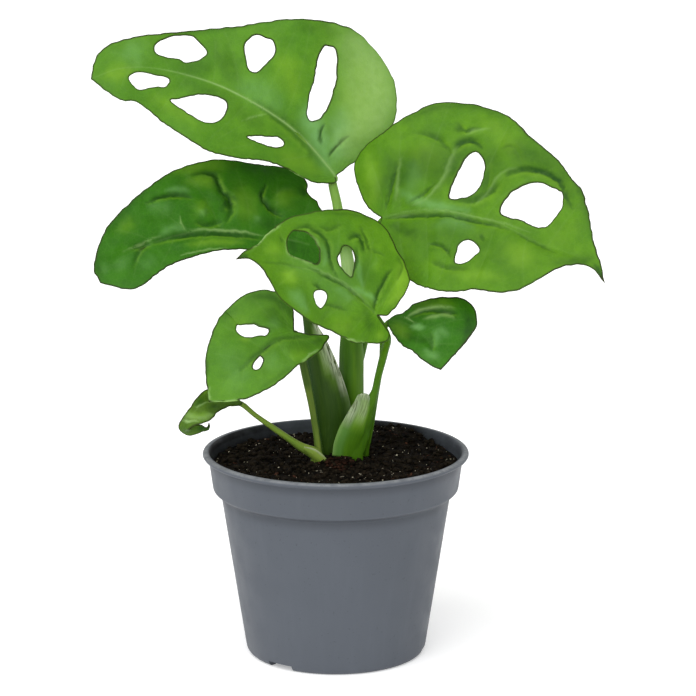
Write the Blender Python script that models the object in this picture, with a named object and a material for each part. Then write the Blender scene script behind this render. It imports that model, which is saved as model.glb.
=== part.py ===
"""Potted swiss cheese vine: seven cut leaves on sheathed stalks, soil and a nursery pot.

All design values are in millimetres. Meshes are made in metres, +Z up, with the origin
at the middle of the pot's underside. The side seen first looks along +Y.
"""

import math

import bpy
from mathutils import Vector, geometry, noise

MM = 0.001

# Pot
RIM_R = 60.0
RIM_Z = 93.0
BAND_TOP_R = 57.6
BAND_FOOT_R = 55.3
BAND_FOOT_Z = 75.4
WALL_TOP_R = 51.7
WALL_FOOT_R = 41.0
WALL_FOOT_Z = 3.6
WALL = 1.2
FLOOR_Z = 3.0
PAD_R = 14.0
RING_IN_R = 35.4
RING_OUT_R = 38.4
POT_SIDES = 44
DRAIN_HOLES = 8
DRAIN_R = 4.0
DRAIN_AT_R = 25.0
NOTCHES = 3
NOTCH_WIDTH = 13.0
NOTCH_HEIGHT = 2.7
NOTCH_TURN = math.radians(232.0)

# Soil
SOIL_EDGE_Z = 87.0
MOUND_RISE = 4.0
MOUND_R = 30.0
MOUND_X = 2.0
CLOD_RISE = 1.1
CLOD_SIZE = 11.0
SOIL_SIDES = 36
SOIL_RINGS = (7.0, 14.0, 20.0, 26.0, 32.0, 39.0, 46.0, 52.5)
CLEARANCE = 0.3

# Leaves and stalks
BLADE = 0.8
MESH_STEP = 5.5
ROW_STEP = 4.8
EDGE_STEP = 5.0
HOLE_STEP = 4.4
KEEP_OFF = 3.0
FOLD_REACH = 3.0
STALK_SIDES = 8
STALK_STEPS = 2
FOOT_DEPTH = 14.0
FOOT_TOP_Z = 93.0
HOLE_LIFT = 5.0
MIDRIB_R = 1.2
MIDRIB_TIP_R = 0.45
MIDRIB_REACH = 0.9
MIDRIB_STOPS = 6

GREENS = {
    "light": (0.16, 0.36, 0.05),
    "middle": (0.11, 0.30, 0.035),
    "deep": (0.07, 0.22, 0.025),
}


def clear_scene():
    """Remove every object that the file opens with."""
    for thing in list(bpy.data.objects):
        bpy.data.objects.remove(thing, do_unlink=True)


def finish(name, colour, roughness):
    """A plain material for one sub-part."""
    material = bpy.data.materials.new(name)
    material.use_nodes = True
    shader = material.node_tree.nodes["Principled BSDF"]
    shader.inputs["Base Color"].default_value = (*colour, 1.0)
    shader.inputs["Roughness"].default_value = roughness
    shader.inputs["Metallic"].default_value = 0.0
    return material


def add_object(name, points, faces, material=None):
    """An object from points in millimetres and lists of point numbers."""
    mesh = bpy.data.meshes.new(name)
    mesh.from_pydata([Vector(p) * MM for p in points], [], faces)
    mesh.validate()
    thing = bpy.data.objects.new(name, mesh)
    bpy.context.scene.collection.objects.link(thing)
    if material:
        mesh.materials.append(material)
    return thing


def round_shading(thing, degrees):
    """Smooth shading that keeps edges sharper than the given angle."""
    thing.data.shade_smooth()
    thing.data.set_sharp_from_angle(angle=math.radians(degrees))


def make_cutter(name, points, faces):
    """A hidden solid that other objects are cut with."""
    cutter = add_object(name, points, faces)
    cutter.hide_render = True
    cutter.display_type = "WIRE"
    return cutter


def cut(thing, cutter):
    """Cut one solid out of another, as a live modifier."""
    modifier = thing.modifiers.new("cut", "BOOLEAN")
    modifier.operation = "DIFFERENCE"
    modifier.object = cutter


# Curves


def spline_point(p0, p1, p2, p3, t):
    """A point between p1 and p2 on the smooth curve through four points."""
    return [
        0.5 * (2 * b + (c - a) * t + (2 * a - 5 * b + 4 * c - d) * t**2
               + (3 * b - a - 3 * c + d) * t**3)
        for a, b, c, d in zip(p0, p1, p2, p3)
    ]


def through(stops, steps, closed=False):
    """Points on a smooth curve through all the stops, with equal steps between two."""
    stops = [list(s) for s in stops]
    if closed:
        row = [stops[-1]] + stops + stops[:2]
    else:
        before = [2 * a - b for a, b in zip(stops[0], stops[1])]
        after = [2 * a - b for a, b in zip(stops[-1], stops[-2])]
        row = [before] + stops + [after]
    points = []
    for i in range(1, len(row) - 2):
        for k in range(steps):
            points.append(spline_point(*row[i - 1:i + 3], k / steps))
    if not closed:
        points.append(stops[-1])
    return points


def even(points, spacing, closed=False):
    """The same line again, with points an even spacing apart."""
    if closed:
        points = points + points[:1]
    run = [0.0]
    for a, b in zip(points, points[1:]):
        run.append(run[-1] + math.dist(a, b))
    count = max(3, round(run[-1] / spacing))
    out = []
    at = 0
    for k in range(count + 1):
        goal = run[-1] * k / count
        while at < len(run) - 2 and run[at + 1] < goal:
            at += 1
        share = (goal - run[at]) / (run[at + 1] - run[at])
        out.append([a + (b - a) * share for a, b in zip(points[at], points[at + 1])])
    return out[:-1] if closed else out


# Leaf blades


class Blade:
    """The curved middle surface of a leaf.

    u runs along the midrib from the stalk to the tip, and v across it, to the left
    above zero. The rib is a list of points, and across says which way the left edge
    lies from it, evenly from the stalk to the tip. The halves fold up by the fold
    angles, left then right, and arch back down with each centimetre of width.
    """

    STATIONS = 60

    def __init__(self, rib, across, fold, arch, wave):
        line = through(rib, 12)
        points = [Vector(p) for p in even(line, self.length_of(line) / self.STATIONS)]
        self.points = points
        self.step = (points[1] - points[0]).length
        self.length = self.step * (len(points) - 1)
        self.fold = [math.radians(a) for a in fold]
        self.arch = [math.radians(a) for a in arch]
        self.wave = wave
        self.frames = []
        ways = [Vector(a).normalized() for a in across]
        ways = through(ways, self.STATIONS // (len(ways) - 1))
        for i, way in enumerate(ways):
            ahead = points[min(i + 1, len(points) - 1)] - points[max(i - 1, 0)]
            ahead.normalize()
            left = Vector(way)
            left = (left - ahead * left.dot(ahead)).normalized()
            self.frames.append((ahead, left, ahead.cross(left)))

    @staticmethod
    def length_of(line):
        return sum(math.dist(a, b) for a, b in zip(line, line[1:]))

    def frame(self, u):
        """Point and directions on the midrib, straight on past its ends."""
        place = min(max(u / self.step, 0.0), len(self.points) - 1.001)
        low = int(place)
        share = place - low
        point = self.points[low].lerp(self.points[low + 1], share)
        ahead, left, up = (
            a.lerp(b, share) for a, b in zip(self.frames[low], self.frames[low + 1])
        )
        over = u - min(max(u, 0.0), self.length)
        return point + ahead * over, ahead, left, up

    def section(self, v):
        """How far out and how far up a point lies that is v away from the midrib."""
        side = 0 if v > 0 else 1
        out = rise = 0.0
        steps = 12
        width = abs(v) / steps
        for k in range(steps):
            t = (k + 0.5) * width
            lean = self.fold[side] * (1 - math.exp(-t / FOLD_REACH)) - self.arch[side] * t / 10
            out += math.cos(lean) * width
            rise += math.sin(lean) * width
        return math.copysign(out, v), rise

    def at(self, u, v):
        """The place of (u, v) in space."""
        point, _, left, up = self.frame(u)
        out, rise = self.section(v)
        depth, pitch, phase = self.wave
        turn = 2 * math.pi * u / pitch + phase + (0.0 if v > 0 else 2.0)
        rise += depth * (v / 30.0) ** 2 * math.sin(turn)
        return point + left * out + up * rise

    def normal(self, u, v):
        """The way that the upper face looks at (u, v)."""
        gap = 0.4
        along = self.at(u + gap, v) - self.at(u - gap, v)
        aside = self.at(u, v + gap) - self.at(u, v - gap)
        return along.cross(aside).normalized()


def inside(point, loop):
    """Whether a flat point lies inside a closed line."""
    x, y = point
    odd = False
    for (x0, y0), (x1, y1) in zip(loop, loop[1:] + loop[:1]):
        if (y0 > y) != (y1 > y) and x < x0 + (y - y0) * (x1 - x0) / (y1 - y0):
            odd = not odd
    return odd


def grid_spots(edge, scale):
    """Spots in staggered rows over the box round a flat outline."""
    row_step = ROW_STEP * scale
    spot_step = MESH_STEP * scale
    low_u, high_u = min(u for u, _ in edge), max(u for u, _ in edge)
    low_v, high_v = min(v for _, v in edge), max(v for _, v in edge)
    spots = []
    for row in range(math.floor(low_v / row_step), math.ceil(high_v / row_step) + 1):
        shift = spot_step / 2 if row % 2 else 0.0
        for k in range(math.floor(low_u / spot_step), math.ceil(high_u / spot_step) + 1):
            spots.append((k * spot_step + shift, row * row_step))
    return spots


def flat_mesh(edge, holes, scale):
    """Points and triangles that fill the flat outline round its holes."""
    loops = [edge] + holes
    points = [tuple(p) for loop in loops for p in loop]
    lines = []
    start = 0
    for loop in loops:
        for k in range(len(loop)):
            lines.append((start + k, start + (k + 1) % len(loop)))
        start += len(loop)
    for spot in grid_spots(edge, scale):
        near = min(math.dist(spot, p) for loop in loops for p in loop)
        within = inside(spot, edge) and not any(inside(spot, h) for h in holes)
        if within and near > KEEP_OFF * scale:
            points.append(spot)
    filled = geometry.delaunay_2d_cdt([Vector(p) for p in points], lines, [], 1, 1e-4)
    flat = [tuple(p) for p in filled[0]]
    triangles = []
    for face in filled[2]:
        middle = [sum(flat[i][axis] for i in face) / 3 for axis in (0, 1)]
        if not any(inside(middle, h) for h in holes):
            triangles.append(tuple(face))
    return flat, triangles


def blade_solid(blade, left_edge, right_edge, holes, scale):
    """Points and faces of a leaf of even thickness, with its holes cut through."""
    left = even(through(left_edge, 8), EDGE_STEP * scale)
    right = even(through(right_edge, 8), EDGE_STEP * scale)
    edge = right + left[-2:0:-1]
    cuts = [even(through(h, 8, True), HOLE_STEP, True) for h in holes]
    flat, triangles = flat_mesh(edge, cuts, scale)
    upper = []
    lower = []
    for u, v in flat:
        middle = blade.at(u, v)
        lift = blade.normal(u, v) * (BLADE / 2)
        upper.append(middle + lift)
        lower.append(middle - lift)
    count = len(flat)
    faces = list(triangles) + [(a + count, c + count, b + count) for a, b, c in triangles]
    sides = {(a, b) for f in triangles for a, b in zip(f, f[1:] + f[:1])}
    for a, b in sorted(sides):
        if (b, a) not in sides:
            faces.append((b, a, a + count))
            faces.append((b, a + count, b + count))
    return upper + lower, faces


# Stalks


def foot_stops(x, y, half_width, half_depth):
    """The two ends of the straight foot that stands in the soil."""
    ends = (FOOT_TOP_Z - FOOT_DEPTH, FOOT_TOP_Z)
    return [(x, y, z, half_width, half_depth, 0.0) for z in ends]


def midrib_stops(blade):
    """The stalk's way on under the blade, thinner towards the tip."""
    stops = []
    for k in range(MIDRIB_STOPS):
        share = (k / (MIDRIB_STOPS - 1)) ** 1.4
        u = blade.length * MIDRIB_REACH * share
        radius = MIDRIB_R + (MIDRIB_TIP_R - MIDRIB_R) * share
        point, _, _, up = blade.frame(u)
        point = point - up * (radius * 0.75)
        stops.append((*point, radius, radius, 0.0))
    return stops


def tube(rows):
    """A closed tube along rows of (x, y, z, half width, half depth, curl)."""
    centres = [Vector(r[:3]) for r in rows]
    side = Vector((1, 0, 0))
    points = []
    faces = []
    for i, row in enumerate(rows):
        ahead = centres[min(i + 1, len(rows) - 1)] - centres[max(i - 1, 0)]
        ahead.normalize()
        wide = (side - ahead * side.dot(ahead)).normalized()
        side = wide
        deep = ahead.cross(wide)
        half_width, half_depth, curl = row[3:]
        for k in range(STALK_SIDES):
            turn = 2 * math.pi * k / STALK_SIDES
            out = half_width * math.cos(turn)
            rise = half_depth * math.sin(turn) + curl * (math.cos(turn) ** 2 - 0.5)
            points.append(centres[i] + wide * out + deep * rise)
    for i in range(len(rows) - 1):
        for k in range(STALK_SIDES):
            a = i * STALK_SIDES + k
            b = i * STALK_SIDES + (k + 1) % STALK_SIDES
            faces.append((a, b, b + STALK_SIDES))
            faces.append((a, b + STALK_SIDES, a + STALK_SIDES))
    faces.append(tuple(reversed(range(STALK_SIDES))))
    faces.append(tuple(range(len(points) - STALK_SIDES, len(points))))
    return points, faces


def foot_cutter(name, foot):
    """The plain hole in the soil for one stalk."""
    rows = []
    for i, row in enumerate(foot):
        x, y, z, half_width, half_depth, _ = row
        drop = CLEARANCE if i == 0 else 0.0
        lift = HOLE_LIFT if i == len(foot) - 1 else 0.0
        grown = (half_width + CLEARANCE, half_depth + CLEARANCE, 0.0)
        rows.append((x, y, z - drop + lift, *grown))
    return make_cutter(name + ".hole", *tube(rows))


def grow_leaf(name, green, rib, across, fold, arch, wave, left_edge, right_edge, foot,
              stalk, holes=(), scale=1.0):
    """One leaf: the blade, the midrib under it and the stalk down into the soil.

    The foot is given as x, y, half width and half depth, and the stalk in a tube's rows.
    The scale makes the blade's triangles smaller, where it turns tightly. The cutter for
    the soil's hole is handed back.
    """
    blade = Blade(rib, across, fold, arch, wave)
    material = finish(name, GREENS[green], 0.4)
    solid = blade_solid(blade, left_edge, right_edge, holes, scale)
    leaf = add_object(name, *solid, material)
    foot = foot_stops(*foot)
    rows = foot[:1] + through(foot[1:] + stalk + midrib_stops(blade), STALK_STEPS)
    stem = add_object(name + ".stalk", *tube(rows), material)
    join = leaf.modifiers.new("join", "BOOLEAN")
    join.operation = "UNION"
    join.object = stem
    whole = bpy.data.meshes.new_from_object(
        leaf.evaluated_get(bpy.context.evaluated_depsgraph_get())
    )
    leaf.modifiers.clear()
    leaf.data = whole
    bpy.data.objects.remove(stem, do_unlink=True)
    round_shading(leaf, 50)
    return foot_cutter(name, foot)


def leaf_top():
    """The highest leaf, spread to the left, with six holes."""
    return grow_leaf(
        "leaf_top", "middle",
        rib=[(0, 34, 212), (-11, 31, 226), (-23.5, 27.5, 238), (-38, 25, 247.5), (-53, 24, 255),
             (-68.5, 23, 260), (-82.5, 20.5, 263), (-96, 17, 263), (-108, 13, 259)],
        across=((-0.66, -0.4, -0.6), (-0.1, -0.55, -0.83)),
        fold=(6, 14), arch=(2, 3), wave=(0.8, 55, 0),
        left_edge=[(0, 0), (-2, 2), (1, 6), (9, 12.5), (29, 19), (50, 28), (66.5, 31.5),
                   (91, 25.5), (110, 17), (121, 15), (128.5, 0)],
        right_edge=[(0, 0), (-1, -11), (-3.5, -24), (0.5, -36), (7, -44), (14, -50.5), (21, -54),
                    (26.5, -55), (33.5, -54.5), (45.5, -47), (58, -39), (72.5, -27.5), (95, -17),
                    (116.5, -11.5), (124, -6.5), (128.5, 0)],
        holes=[
            [(65, -25), (62.5, -28.5), (59.5, -28.5), (56.5, -29), (53.5, -24.5), (54.5, -19),
             (56, -14), (58, -12.5), (60.5, -13), (65, -20)],
            [(99.5, -9), (98, -12), (92.5, -16), (86, -18), (82.5, -16), (78.5, -13), (79.5, -9.5),
             (82.5, -7), (86.5, -5.5), (89.5, -6.5), (94.5, -6), (98, -6.5)],
            [(37, -40.5), (34, -41), (29.5, -33), (26.5, -25.5), (24, -17), (24, -11.5), (26, -8.5),
             (29, -9.5), (32.5, -16), (34.5, -23), (37.5, -32), (38, -38)],
            [(111.5, 6), (110, 3.5), (105.5, 2.5), (97.5, 3.5), (94, 3.5), (91.5, 4.5), (93, 8),
             (98, 9), (106.5, 11), (109.5, 9)],
            [(89.5, 14), (85.5, 12.5), (76, 7.5), (70.5, 6), (65, 5.5), (62, 8), (62, 13.5),
             (64.5, 17.5), (70.5, 19.5), (77, 18.5), (84, 16.5)],
            [(47.5, 16), (44, 13.5), (38.5, 10.5), (34.5, 8), (30, 8), (31, 11), (36.5, 14),
             (43, 15.5)],
        ],
        foot=(7, 9, 4.9, 2.4),
        stalk=[(7, 9, 101, 5.4, 2.0, 1.0), (7, 9, 112, 5.6, 1.6, 2.2),
               (7, 9, 124, 5.6, 1.6, 2.2), (7, 9.5, 137, 5.4, 1.6, 1.8),
               (6.5, 11, 148.5, 4.0, 1.8, 1.0), (6, 14, 159, 3.1, 2.2, 0),
               (5.3, 20.5, 175, 3.0, 2.3, 0), (2.5, 27.5, 188, 2.5, 2.2, 0),
               (0.5, 33.5, 199.5, 2.2, 2.0, 0), (-1.5, 36, 208.5, 2.0, 1.8, 0)],
    )


def leaf_right():
    """The broad leaf on the right, with three holes."""
    return grow_leaf(
        "leaf_right", "light",
        rib=[(20.5, 14, 196.5), (33.5, 8, 199.5), (48.5, 1.5, 201), (62.5, -5, 199.5),
             (74, -11, 197.5), (88, -18, 191.5), (103, -25.5, 187.5), (111.5, -30, 184),
             (116.5, -35, 176.5)],
        across=((0.12, 0.55, 0.82), (0.5, 0.5, 0.7)),
        fold=(18, 6), arch=(3, 4), wave=(0.6, 50, 1),
        left_edge=[(0, 0), (-7, 6), (-12, 18), (-13, 27.5), (-7.5, 34.5), (1.5, 39), (9, 43.5),
                   (21.5, 52), (30, 52.5), (35.5, 51.5), (49, 47.5), (58.5, 40), (70, 35),
                   (85, 30), (91.5, 22), (100.5, 7.5), (106, 3), (114.5, 0)],
        right_edge=[(0, 0), (-1, -5.5), (3.5, -12), (9.5, -23), (20.5, -34), (38, -37.5),
                    (49.5, -36), (75, -28.5), (89, -11.5), (96, -5), (104, -2), (114.5, 0)],
        holes=[
            [(37.5, 29.5), (40, 28), (42.5, 24), (43.5, 18), (42.5, 13), (39.5, 9), (34, 7),
             (31.5, 8), (32.5, 15), (34, 22.5), (35.5, 27.5)],
            [(63.5, 23.5), (68.5, 24.5), (77, 24.5), (80.5, 19), (79.5, 13), (77.5, 8.5), (73, 6),
             (64.5, 5.5), (61.5, 4.5), (57, 4.5), (55.5, 6.5), (56.5, 12.5), (59, 18)],
            [(45.5, -11.5), (49, -11.5), (54, -15), (52, -18.5), (49, -22), (45, -23),
             (43.5, -18.5), (43.5, -14)],
        ],
        foot=(8, 16, 2.7, 2.4),
        stalk=[(8, 16, 107, 2.7, 2.4, 0), (9, 16.5, 124, 2.5, 2.2, 0),
               (12.5, 17, 139.5, 2.2, 2.1, 0), (16, 17, 158, 2.1, 2.0, 0),
               (18.5, 16.5, 175.5, 1.9, 1.9, 0), (19, 15.5, 188.5, 1.7, 1.7, 0)],
    )


def leaf_centre():
    """The leaf in front of the others, with three holes."""
    return grow_leaf(
        "leaf_centre", "light",
        rib=[(18.5, -27, 160.5), (10.5, -29.5, 168.5), (0.5, -33, 177.5), (-10, -36.5, 182.5),
             (-22, -40.5, 185.5), (-31.5, -44, 188.5), (-37, -46, 190.5), (-42.5, -48, 189.5)],
        across=((-0.55, -0.42, -0.72), (0.1, -0.6, -0.8)),
        fold=(4, 12), arch=(2, 3), wave=(0.8, 40, 0),
        left_edge=[(0, 0), (-4, 1), (-9, 2), (-10.5, 5.5), (-7.5, 9.5), (-3, 13), (2.5, 17),
                   (11.5, 19.5), (20.5, 22), (31.5, 23), (42, 21.5), (51.5, 16.5), (57, 9),
                   (60.5, 4.5), (64.5, 2), (73.5, 0)],
        right_edge=[(0, 0), (-3.5, -3), (-4, -7.5), (-3.5, -13.5), (-2, -19.5), (1.5, -23),
                    (10.5, -28), (18.5, -32.5), (23, -33), (32, -30), (43.5, -24), (50.5, -21.5),
                    (57, -16), (62.5, -9.5), (66.5, -4), (73.5, 0)],
        holes=[
            [(28.5, -9), (27, -6.5), (22.5, -5), (20.5, -5.5), (22, -9.5), (23.5, -13.5),
             (25.5, -15.5), (28, -15), (28.5, -11.5)],
            [(50, -10), (48.5, -5.5), (45, -4.5), (41, -4), (36, -3.5), (36, -8), (38.5, -12.5),
             (40.5, -15), (43.5, -16), (47.5, -15.5), (49.5, -13)],
            [(35, 9.5), (33, 8), (30, 7.5), (27.5, 8.5), (27, 12), (28.5, 15), (32, 14.5), (34.5, 12)],
        ],
        foot=(6.5, -7, 5.8, 2.2),
        stalk=[(7.6, -7, 101, 7.2, 1.3, 1.2), (10.7, -7, 108.6, 5.8, 1.2, 1.6),
               (14.8, -7.5, 116, 3.3, 1.4, 0.7), (17.3, -8, 121.5, 1.7, 1.6, 0.1),
               (19, -9.5, 129.5, 1.6, 1.6, 0), (21.6, -14, 141.5, 1.8, 1.7, 0),
               (22.6, -21, 150, 1.7, 1.6, 0)],
    )


def leaf_left():
    """The long leaf on the left, without holes."""
    return grow_leaf(
        "leaf_left", "deep",
        rib=[(-12.5, 27, 182), (-22.5, 24.5, 185), (-32.5, 21, 187), (-43, 18, 189.5),
             (-57, 13.5, 191), (-69, 8.5, 190), (-80, 3.5, 187.5), (-91, -1.5, 183.5),
             (-99, -6, 179), (-105.5, -10, 174)],
        across=((0, -0.62, -0.78), (0.5, -0.35, -0.8)),
        fold=(20, 10), arch=(3, 3), wave=(0.8, 45, 0),
        left_edge=[(-7.5, -2), (-7, 3), (-6, 7.5), (-3, 11.5), (2, 13.5), (9, 13),
                   (17, 10.5), (24, 10), (30, 10), (39, 11), (50, 12.5), (61.5, 13.5),
                   (72.5, 14), (82.5, 16), (89, 17), (95, 16.5), (99.5, 14), (103.5, 7),
                   (105.5, 3)],
        right_edge=[(-7.5, -2), (-8, -6), (-7.5, -10), (-6.5, -14), (-5, -17.5),
                    (-3, -19.5), (-1, -22), (2, -23.5), (4, -26), (4, -29), (6, -32),
                    (9.5, -35), (15.5, -36), (24.5, -35.5), (31, -34.5), (40.5, -34), (47, -32.5),
                    (57, -29.5), (66, -25.5), (76, -21), (86.5, -16), (95.5, -10), (100.5, -6),
                    (104, -2.5), (104.5, 0.5), (105.5, 3)],
        foot=(-2.2, 2, 5.8, 2.2),
        stalk=[(-1.3, 2, 102, 7.6, 1.4, 1.5), (-2, 2, 113, 8.5, 1.1, 2.5),
               (-5.6, 2.5, 129, 7.0, 1.1, 2.2), (-8.8, 4, 141, 5.0, 1.3, 1.2),
               (-12, 7.5, 150.5, 2.7, 1.8, 0), (-13.5, 15, 158.5, 2.2, 2.0, 0),
               (-13.5, 23, 166.5, 2.1, 1.9, 0), (-12, 28.5, 174.5, 1.8, 1.7, 0)],
    )


def leaf_lower_left():
    """The leaf below, hanging to the left, with two holes."""
    return grow_leaf(
        "leaf_lower_left", "middle",
        rib=[(-18, -20, 152), (-26, -23, 149), (-32, -26, 144), (-40, -30, 139), (-48, -35, 132),
             (-55, -40, 125)],
        across=((0.55, -0.5, -0.67), (0.6, -0.45, -0.66)),
        fold=(6, 8), arch=(2, 3), wave=(1, 35, 0),
        left_edge=[(0, 0), (-6, 4.5), (-12.5, 8.5), (-9.5, 11.5), (-5, 14), (4, 16), (16.5, 16),
                   (24.5, 16), (33, 14.5), (41, 10.5), (46, 6), (50.5, 0)],
        right_edge=[(0, 0), (-3.5, -8), (-4.5, -14.5), (-1, -20), (4, -23.5), (10, -25.5),
                    (17, -25.5), (23.5, -24), (31, -18), (37, -14), (42.5, -8.5), (50.5, 0)],
        holes=[
            [(20.5, -15.5), (17, -16.5), (13, -14), (11, -10.5), (10, -7.5), (9, -5.5), (11, -4.5),
             (13.5, -7), (18, -9.5), (20.5, -12)],
            [(19.5, 1), (19.5, 3), (21, 4.5), (23.5, 5.5), (25.5, 4.5), (25, 3), (22, 1.5)],
        ],
        foot=(-7.5, -4, 2.0, 1.9),
        stalk=[(-8.4, -4, 101, 1.7, 1.7, 0), (-10.6, -4.5, 115, 1.7, 1.6, 0),
               (-12.8, -6, 127, 2.0, 1.6, 0), (-14.5, -8, 136, 1.9, 1.5, 0),
               (-15.5, -12, 143.5, 1.4, 1.4, 0), (-16.5, -16.5, 148.5, 1.2, 1.2, 0)],
    )


def leaf_small_right():
    """The small folded leaf on the right, without holes."""
    return grow_leaf(
        "leaf_small_right", "deep",
        rib=[(23, -4, 153.5), (29, -8, 153.5), (35, -13, 152), (40, -18.5, 148.5),
             (43.5, -24.5, 143.5), (46, -31, 137)],
        across=((0.1, 0.75, 0.65), (0.9, 0.2, 0.4)),
        fold=(22, 10), arch=(4, 3), wave=(0.8, 30, 0),
        left_edge=[(0, 0), (2, 2.5), (6, 4.5), (8.5, 9), (14, 15.5), (18, 21), (23, 25),
                   (30, 22.5), (33.5, 16), (38, 6), (41.5, 0)],
        right_edge=[(0, 0), (2.5, -4), (9.5, -8.5), (17, -10.5), (23, -10.5), (26, -9), (35, -6),
                    (41.5, 0)],
        foot=(13.6, 1, 1.4, 1.4),
        stalk=[(15.8, 0, 104.5, 1.4, 1.4, 0), (18, -1.5, 119, 1.3, 1.3, 0),
               (20.5, -2.5, 135, 1.2, 1.2, 0), (21, -2, 147, 1.2, 1.2, 0)],
    )


def leaf_curled():
    """The smallest leaf, low on the left, with its tip curled under."""
    return grow_leaf(
        "leaf_curled", "middle",
        rib=[(-41, -18, 119.5), (-48.5, -22, 120.5), (-55, -26, 121.5), (-58.5, -28.5, 121),
             (-61, -31, 119), (-63.5, -33.5, 117), (-65.5, -35, 114.5), (-66.5, -35, 112),
             (-65, -34, 110.5), (-62, -32.5, 110.5), (-58.5, -31, 111), (-56, -30, 111),
             (-55.5, -29, 113.5)],
        across=((0, -0.8, -0.6), (0.1, -0.75, -0.65), (0.35, -0.65, -0.65),
                (0.65, -0.5, -0.55), (0.85, -0.5, -0.1), (0, -0.5, 0.85), (-0.4, -0.5, 0.75)),
        fold=(14, 14), arch=(2, 3), wave=(0, 30, 0),
        left_edge=[(0, 0), (2, 2), (7.5, 2.5), (11, 4), (15.5, 6.5), (20, 8.5), (24.5, 8.5),
                   (28, 8), (30, 7), (31, 5.5), (32.5, 4.2), (34.5, 3.2), (36.5, 3.2), (38.5, 4),
                   (41.5, 3.5), (44, 2), (46, 0.5), (48, 0.5), (50, 0)],
        right_edge=[(0, 0), (3, -2.5), (9, -5.5), (15.5, -6.5), (17.5, -5.5), (21.5, -3.5),
                    (27, -2.8), (30.5, -2.5), (34, -2.5), (37, -3), (39, -3.5), (41.5, -3),
                    (45, -2), (48, -1.5), (50, 0)],
        foot=(-8.3, -11, 2.9, 2.2),
        stalk=[(-10.5, -11, 94.8, 2.7, 2.0, 0), (-15.5, -11.5, 97.4, 2.0, 1.6, 0),
               (-20.3, -12.5, 101, 1.5, 1.5, 0), (-28.3, -14.5, 107.3, 1.3, 1.3, 0),
               (-35.7, -16.5, 113.3, 1.1, 1.1, 0)],
        scale=0.5,
    )


# Pot and soil


def turned(profile, sides):
    """Points and faces of a profile of (radius, height) turned once round the axis.

    The profile starts and ends on the axis, and runs up the outside first.
    """
    points = [(0.0, 0.0, profile[0][1]), (0.0, 0.0, profile[-1][1])]
    rings = profile[1:-1]
    for radius, height in rings:
        for k in range(sides):
            turn = 2 * math.pi * k / sides
            points.append((radius * math.cos(turn), radius * math.sin(turn), height))
    faces = []
    last = 2 + (len(rings) - 1) * sides
    for k in range(sides):
        after = (k + 1) % sides
        faces.append((0, 2 + after, 2 + k))
        faces.append((1, last + k, last + after))
        for i in range(len(rings) - 1):
            a = 2 + i * sides
            faces.append((a + k, a + after, a + sides + after, a + sides + k))
    return points, faces


def band_r(z):
    """The pot's outer radius on the band below the rim."""
    share = (z - BAND_FOOT_Z) / (RIM_Z - BAND_FOOT_Z)
    return BAND_FOOT_R + (BAND_TOP_R - BAND_FOOT_R) * share


def pot_outside():
    """The outer profile, from the middle of the underside to the top of the lip."""
    step = BAND_FOOT_Z
    return [
        (0.0, 0.0), (PAD_R, 0.0), (PAD_R + 1.2, FLOOR_Z), (RING_IN_R - 0.6, FLOOR_Z),
        (RING_IN_R, 0.0), (RING_OUT_R, 0.0), (39.7, 0.5), (40.6, 1.8),
        (WALL_FOOT_R, WALL_FOOT_Z), (WALL_TOP_R, step - 2.2),
        (WALL_TOP_R + 0.7, step - 1.1), (WALL_TOP_R + 2.4, step - 0.4),
        (BAND_FOOT_R, step + 0.7), (band_r(RIM_Z - 2.6), RIM_Z - 2.6),
        (RIM_R - 0.6, RIM_Z - 2.1), (RIM_R, RIM_Z - 1.2), (RIM_R - 0.5, RIM_Z - 0.2),
        (RIM_R - 1.6, RIM_Z),
    ]


def pot_inside(gap):
    """The inner profile, from the lip down to the middle, drawn in by a gap."""
    step = BAND_FOOT_Z
    floor = FLOOR_Z + WALL + gap
    inner = WALL + gap
    return [
        (BAND_TOP_R - inner + 0.6, RIM_Z), (band_r(RIM_Z) - inner, RIM_Z - 1.5),
        (band_r(SOIL_EDGE_Z) - inner, SOIL_EDGE_Z), (BAND_FOOT_R - inner, step + 1.6),
        (WALL_TOP_R - inner + 1.6, step + 0.6), (WALL_TOP_R - inner, step - 1.4),
        (WALL_FOOT_R - inner, floor + 0.8), (WALL_FOOT_R - inner - 0.8, floor),
        (PAD_R + 1.8 - gap, floor), (PAD_R - 1.0 - gap, WALL + gap), (0.0, WALL + gap),
    ]


def make_pot():
    """The thin-walled nursery pot with its foot ring, notches and drain holes."""
    points, faces = turned(pot_outside() + pot_inside(0.0), POT_SIDES)
    pot = add_object("pot", points, faces, finish("pot", (0.135, 0.15, 0.175), 0.5))
    cut(pot, drain_cutter())
    cut(pot, notch_cutter())
    round_shading(pot, 35)


def drain_cutter():
    """All the drain holes as one hidden solid of separate rods."""
    points = []
    faces = []
    for k in range(DRAIN_HOLES):
        turn = 2 * math.pi * (k + 0.5) / DRAIN_HOLES
        x = DRAIN_AT_R * math.cos(turn)
        y = DRAIN_AT_R * math.sin(turn)
        rows = [(x, y, z, DRAIN_R, DRAIN_R, 0.0) for z in (FLOOR_Z - 1.5, FLOOR_Z + 3.0)]
        rod, rod_faces = tube(rows)
        faces += [tuple(i + len(points) for i in f) for f in rod_faces]
        points += rod
    return make_cutter("pot.drains", points, faces)


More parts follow.
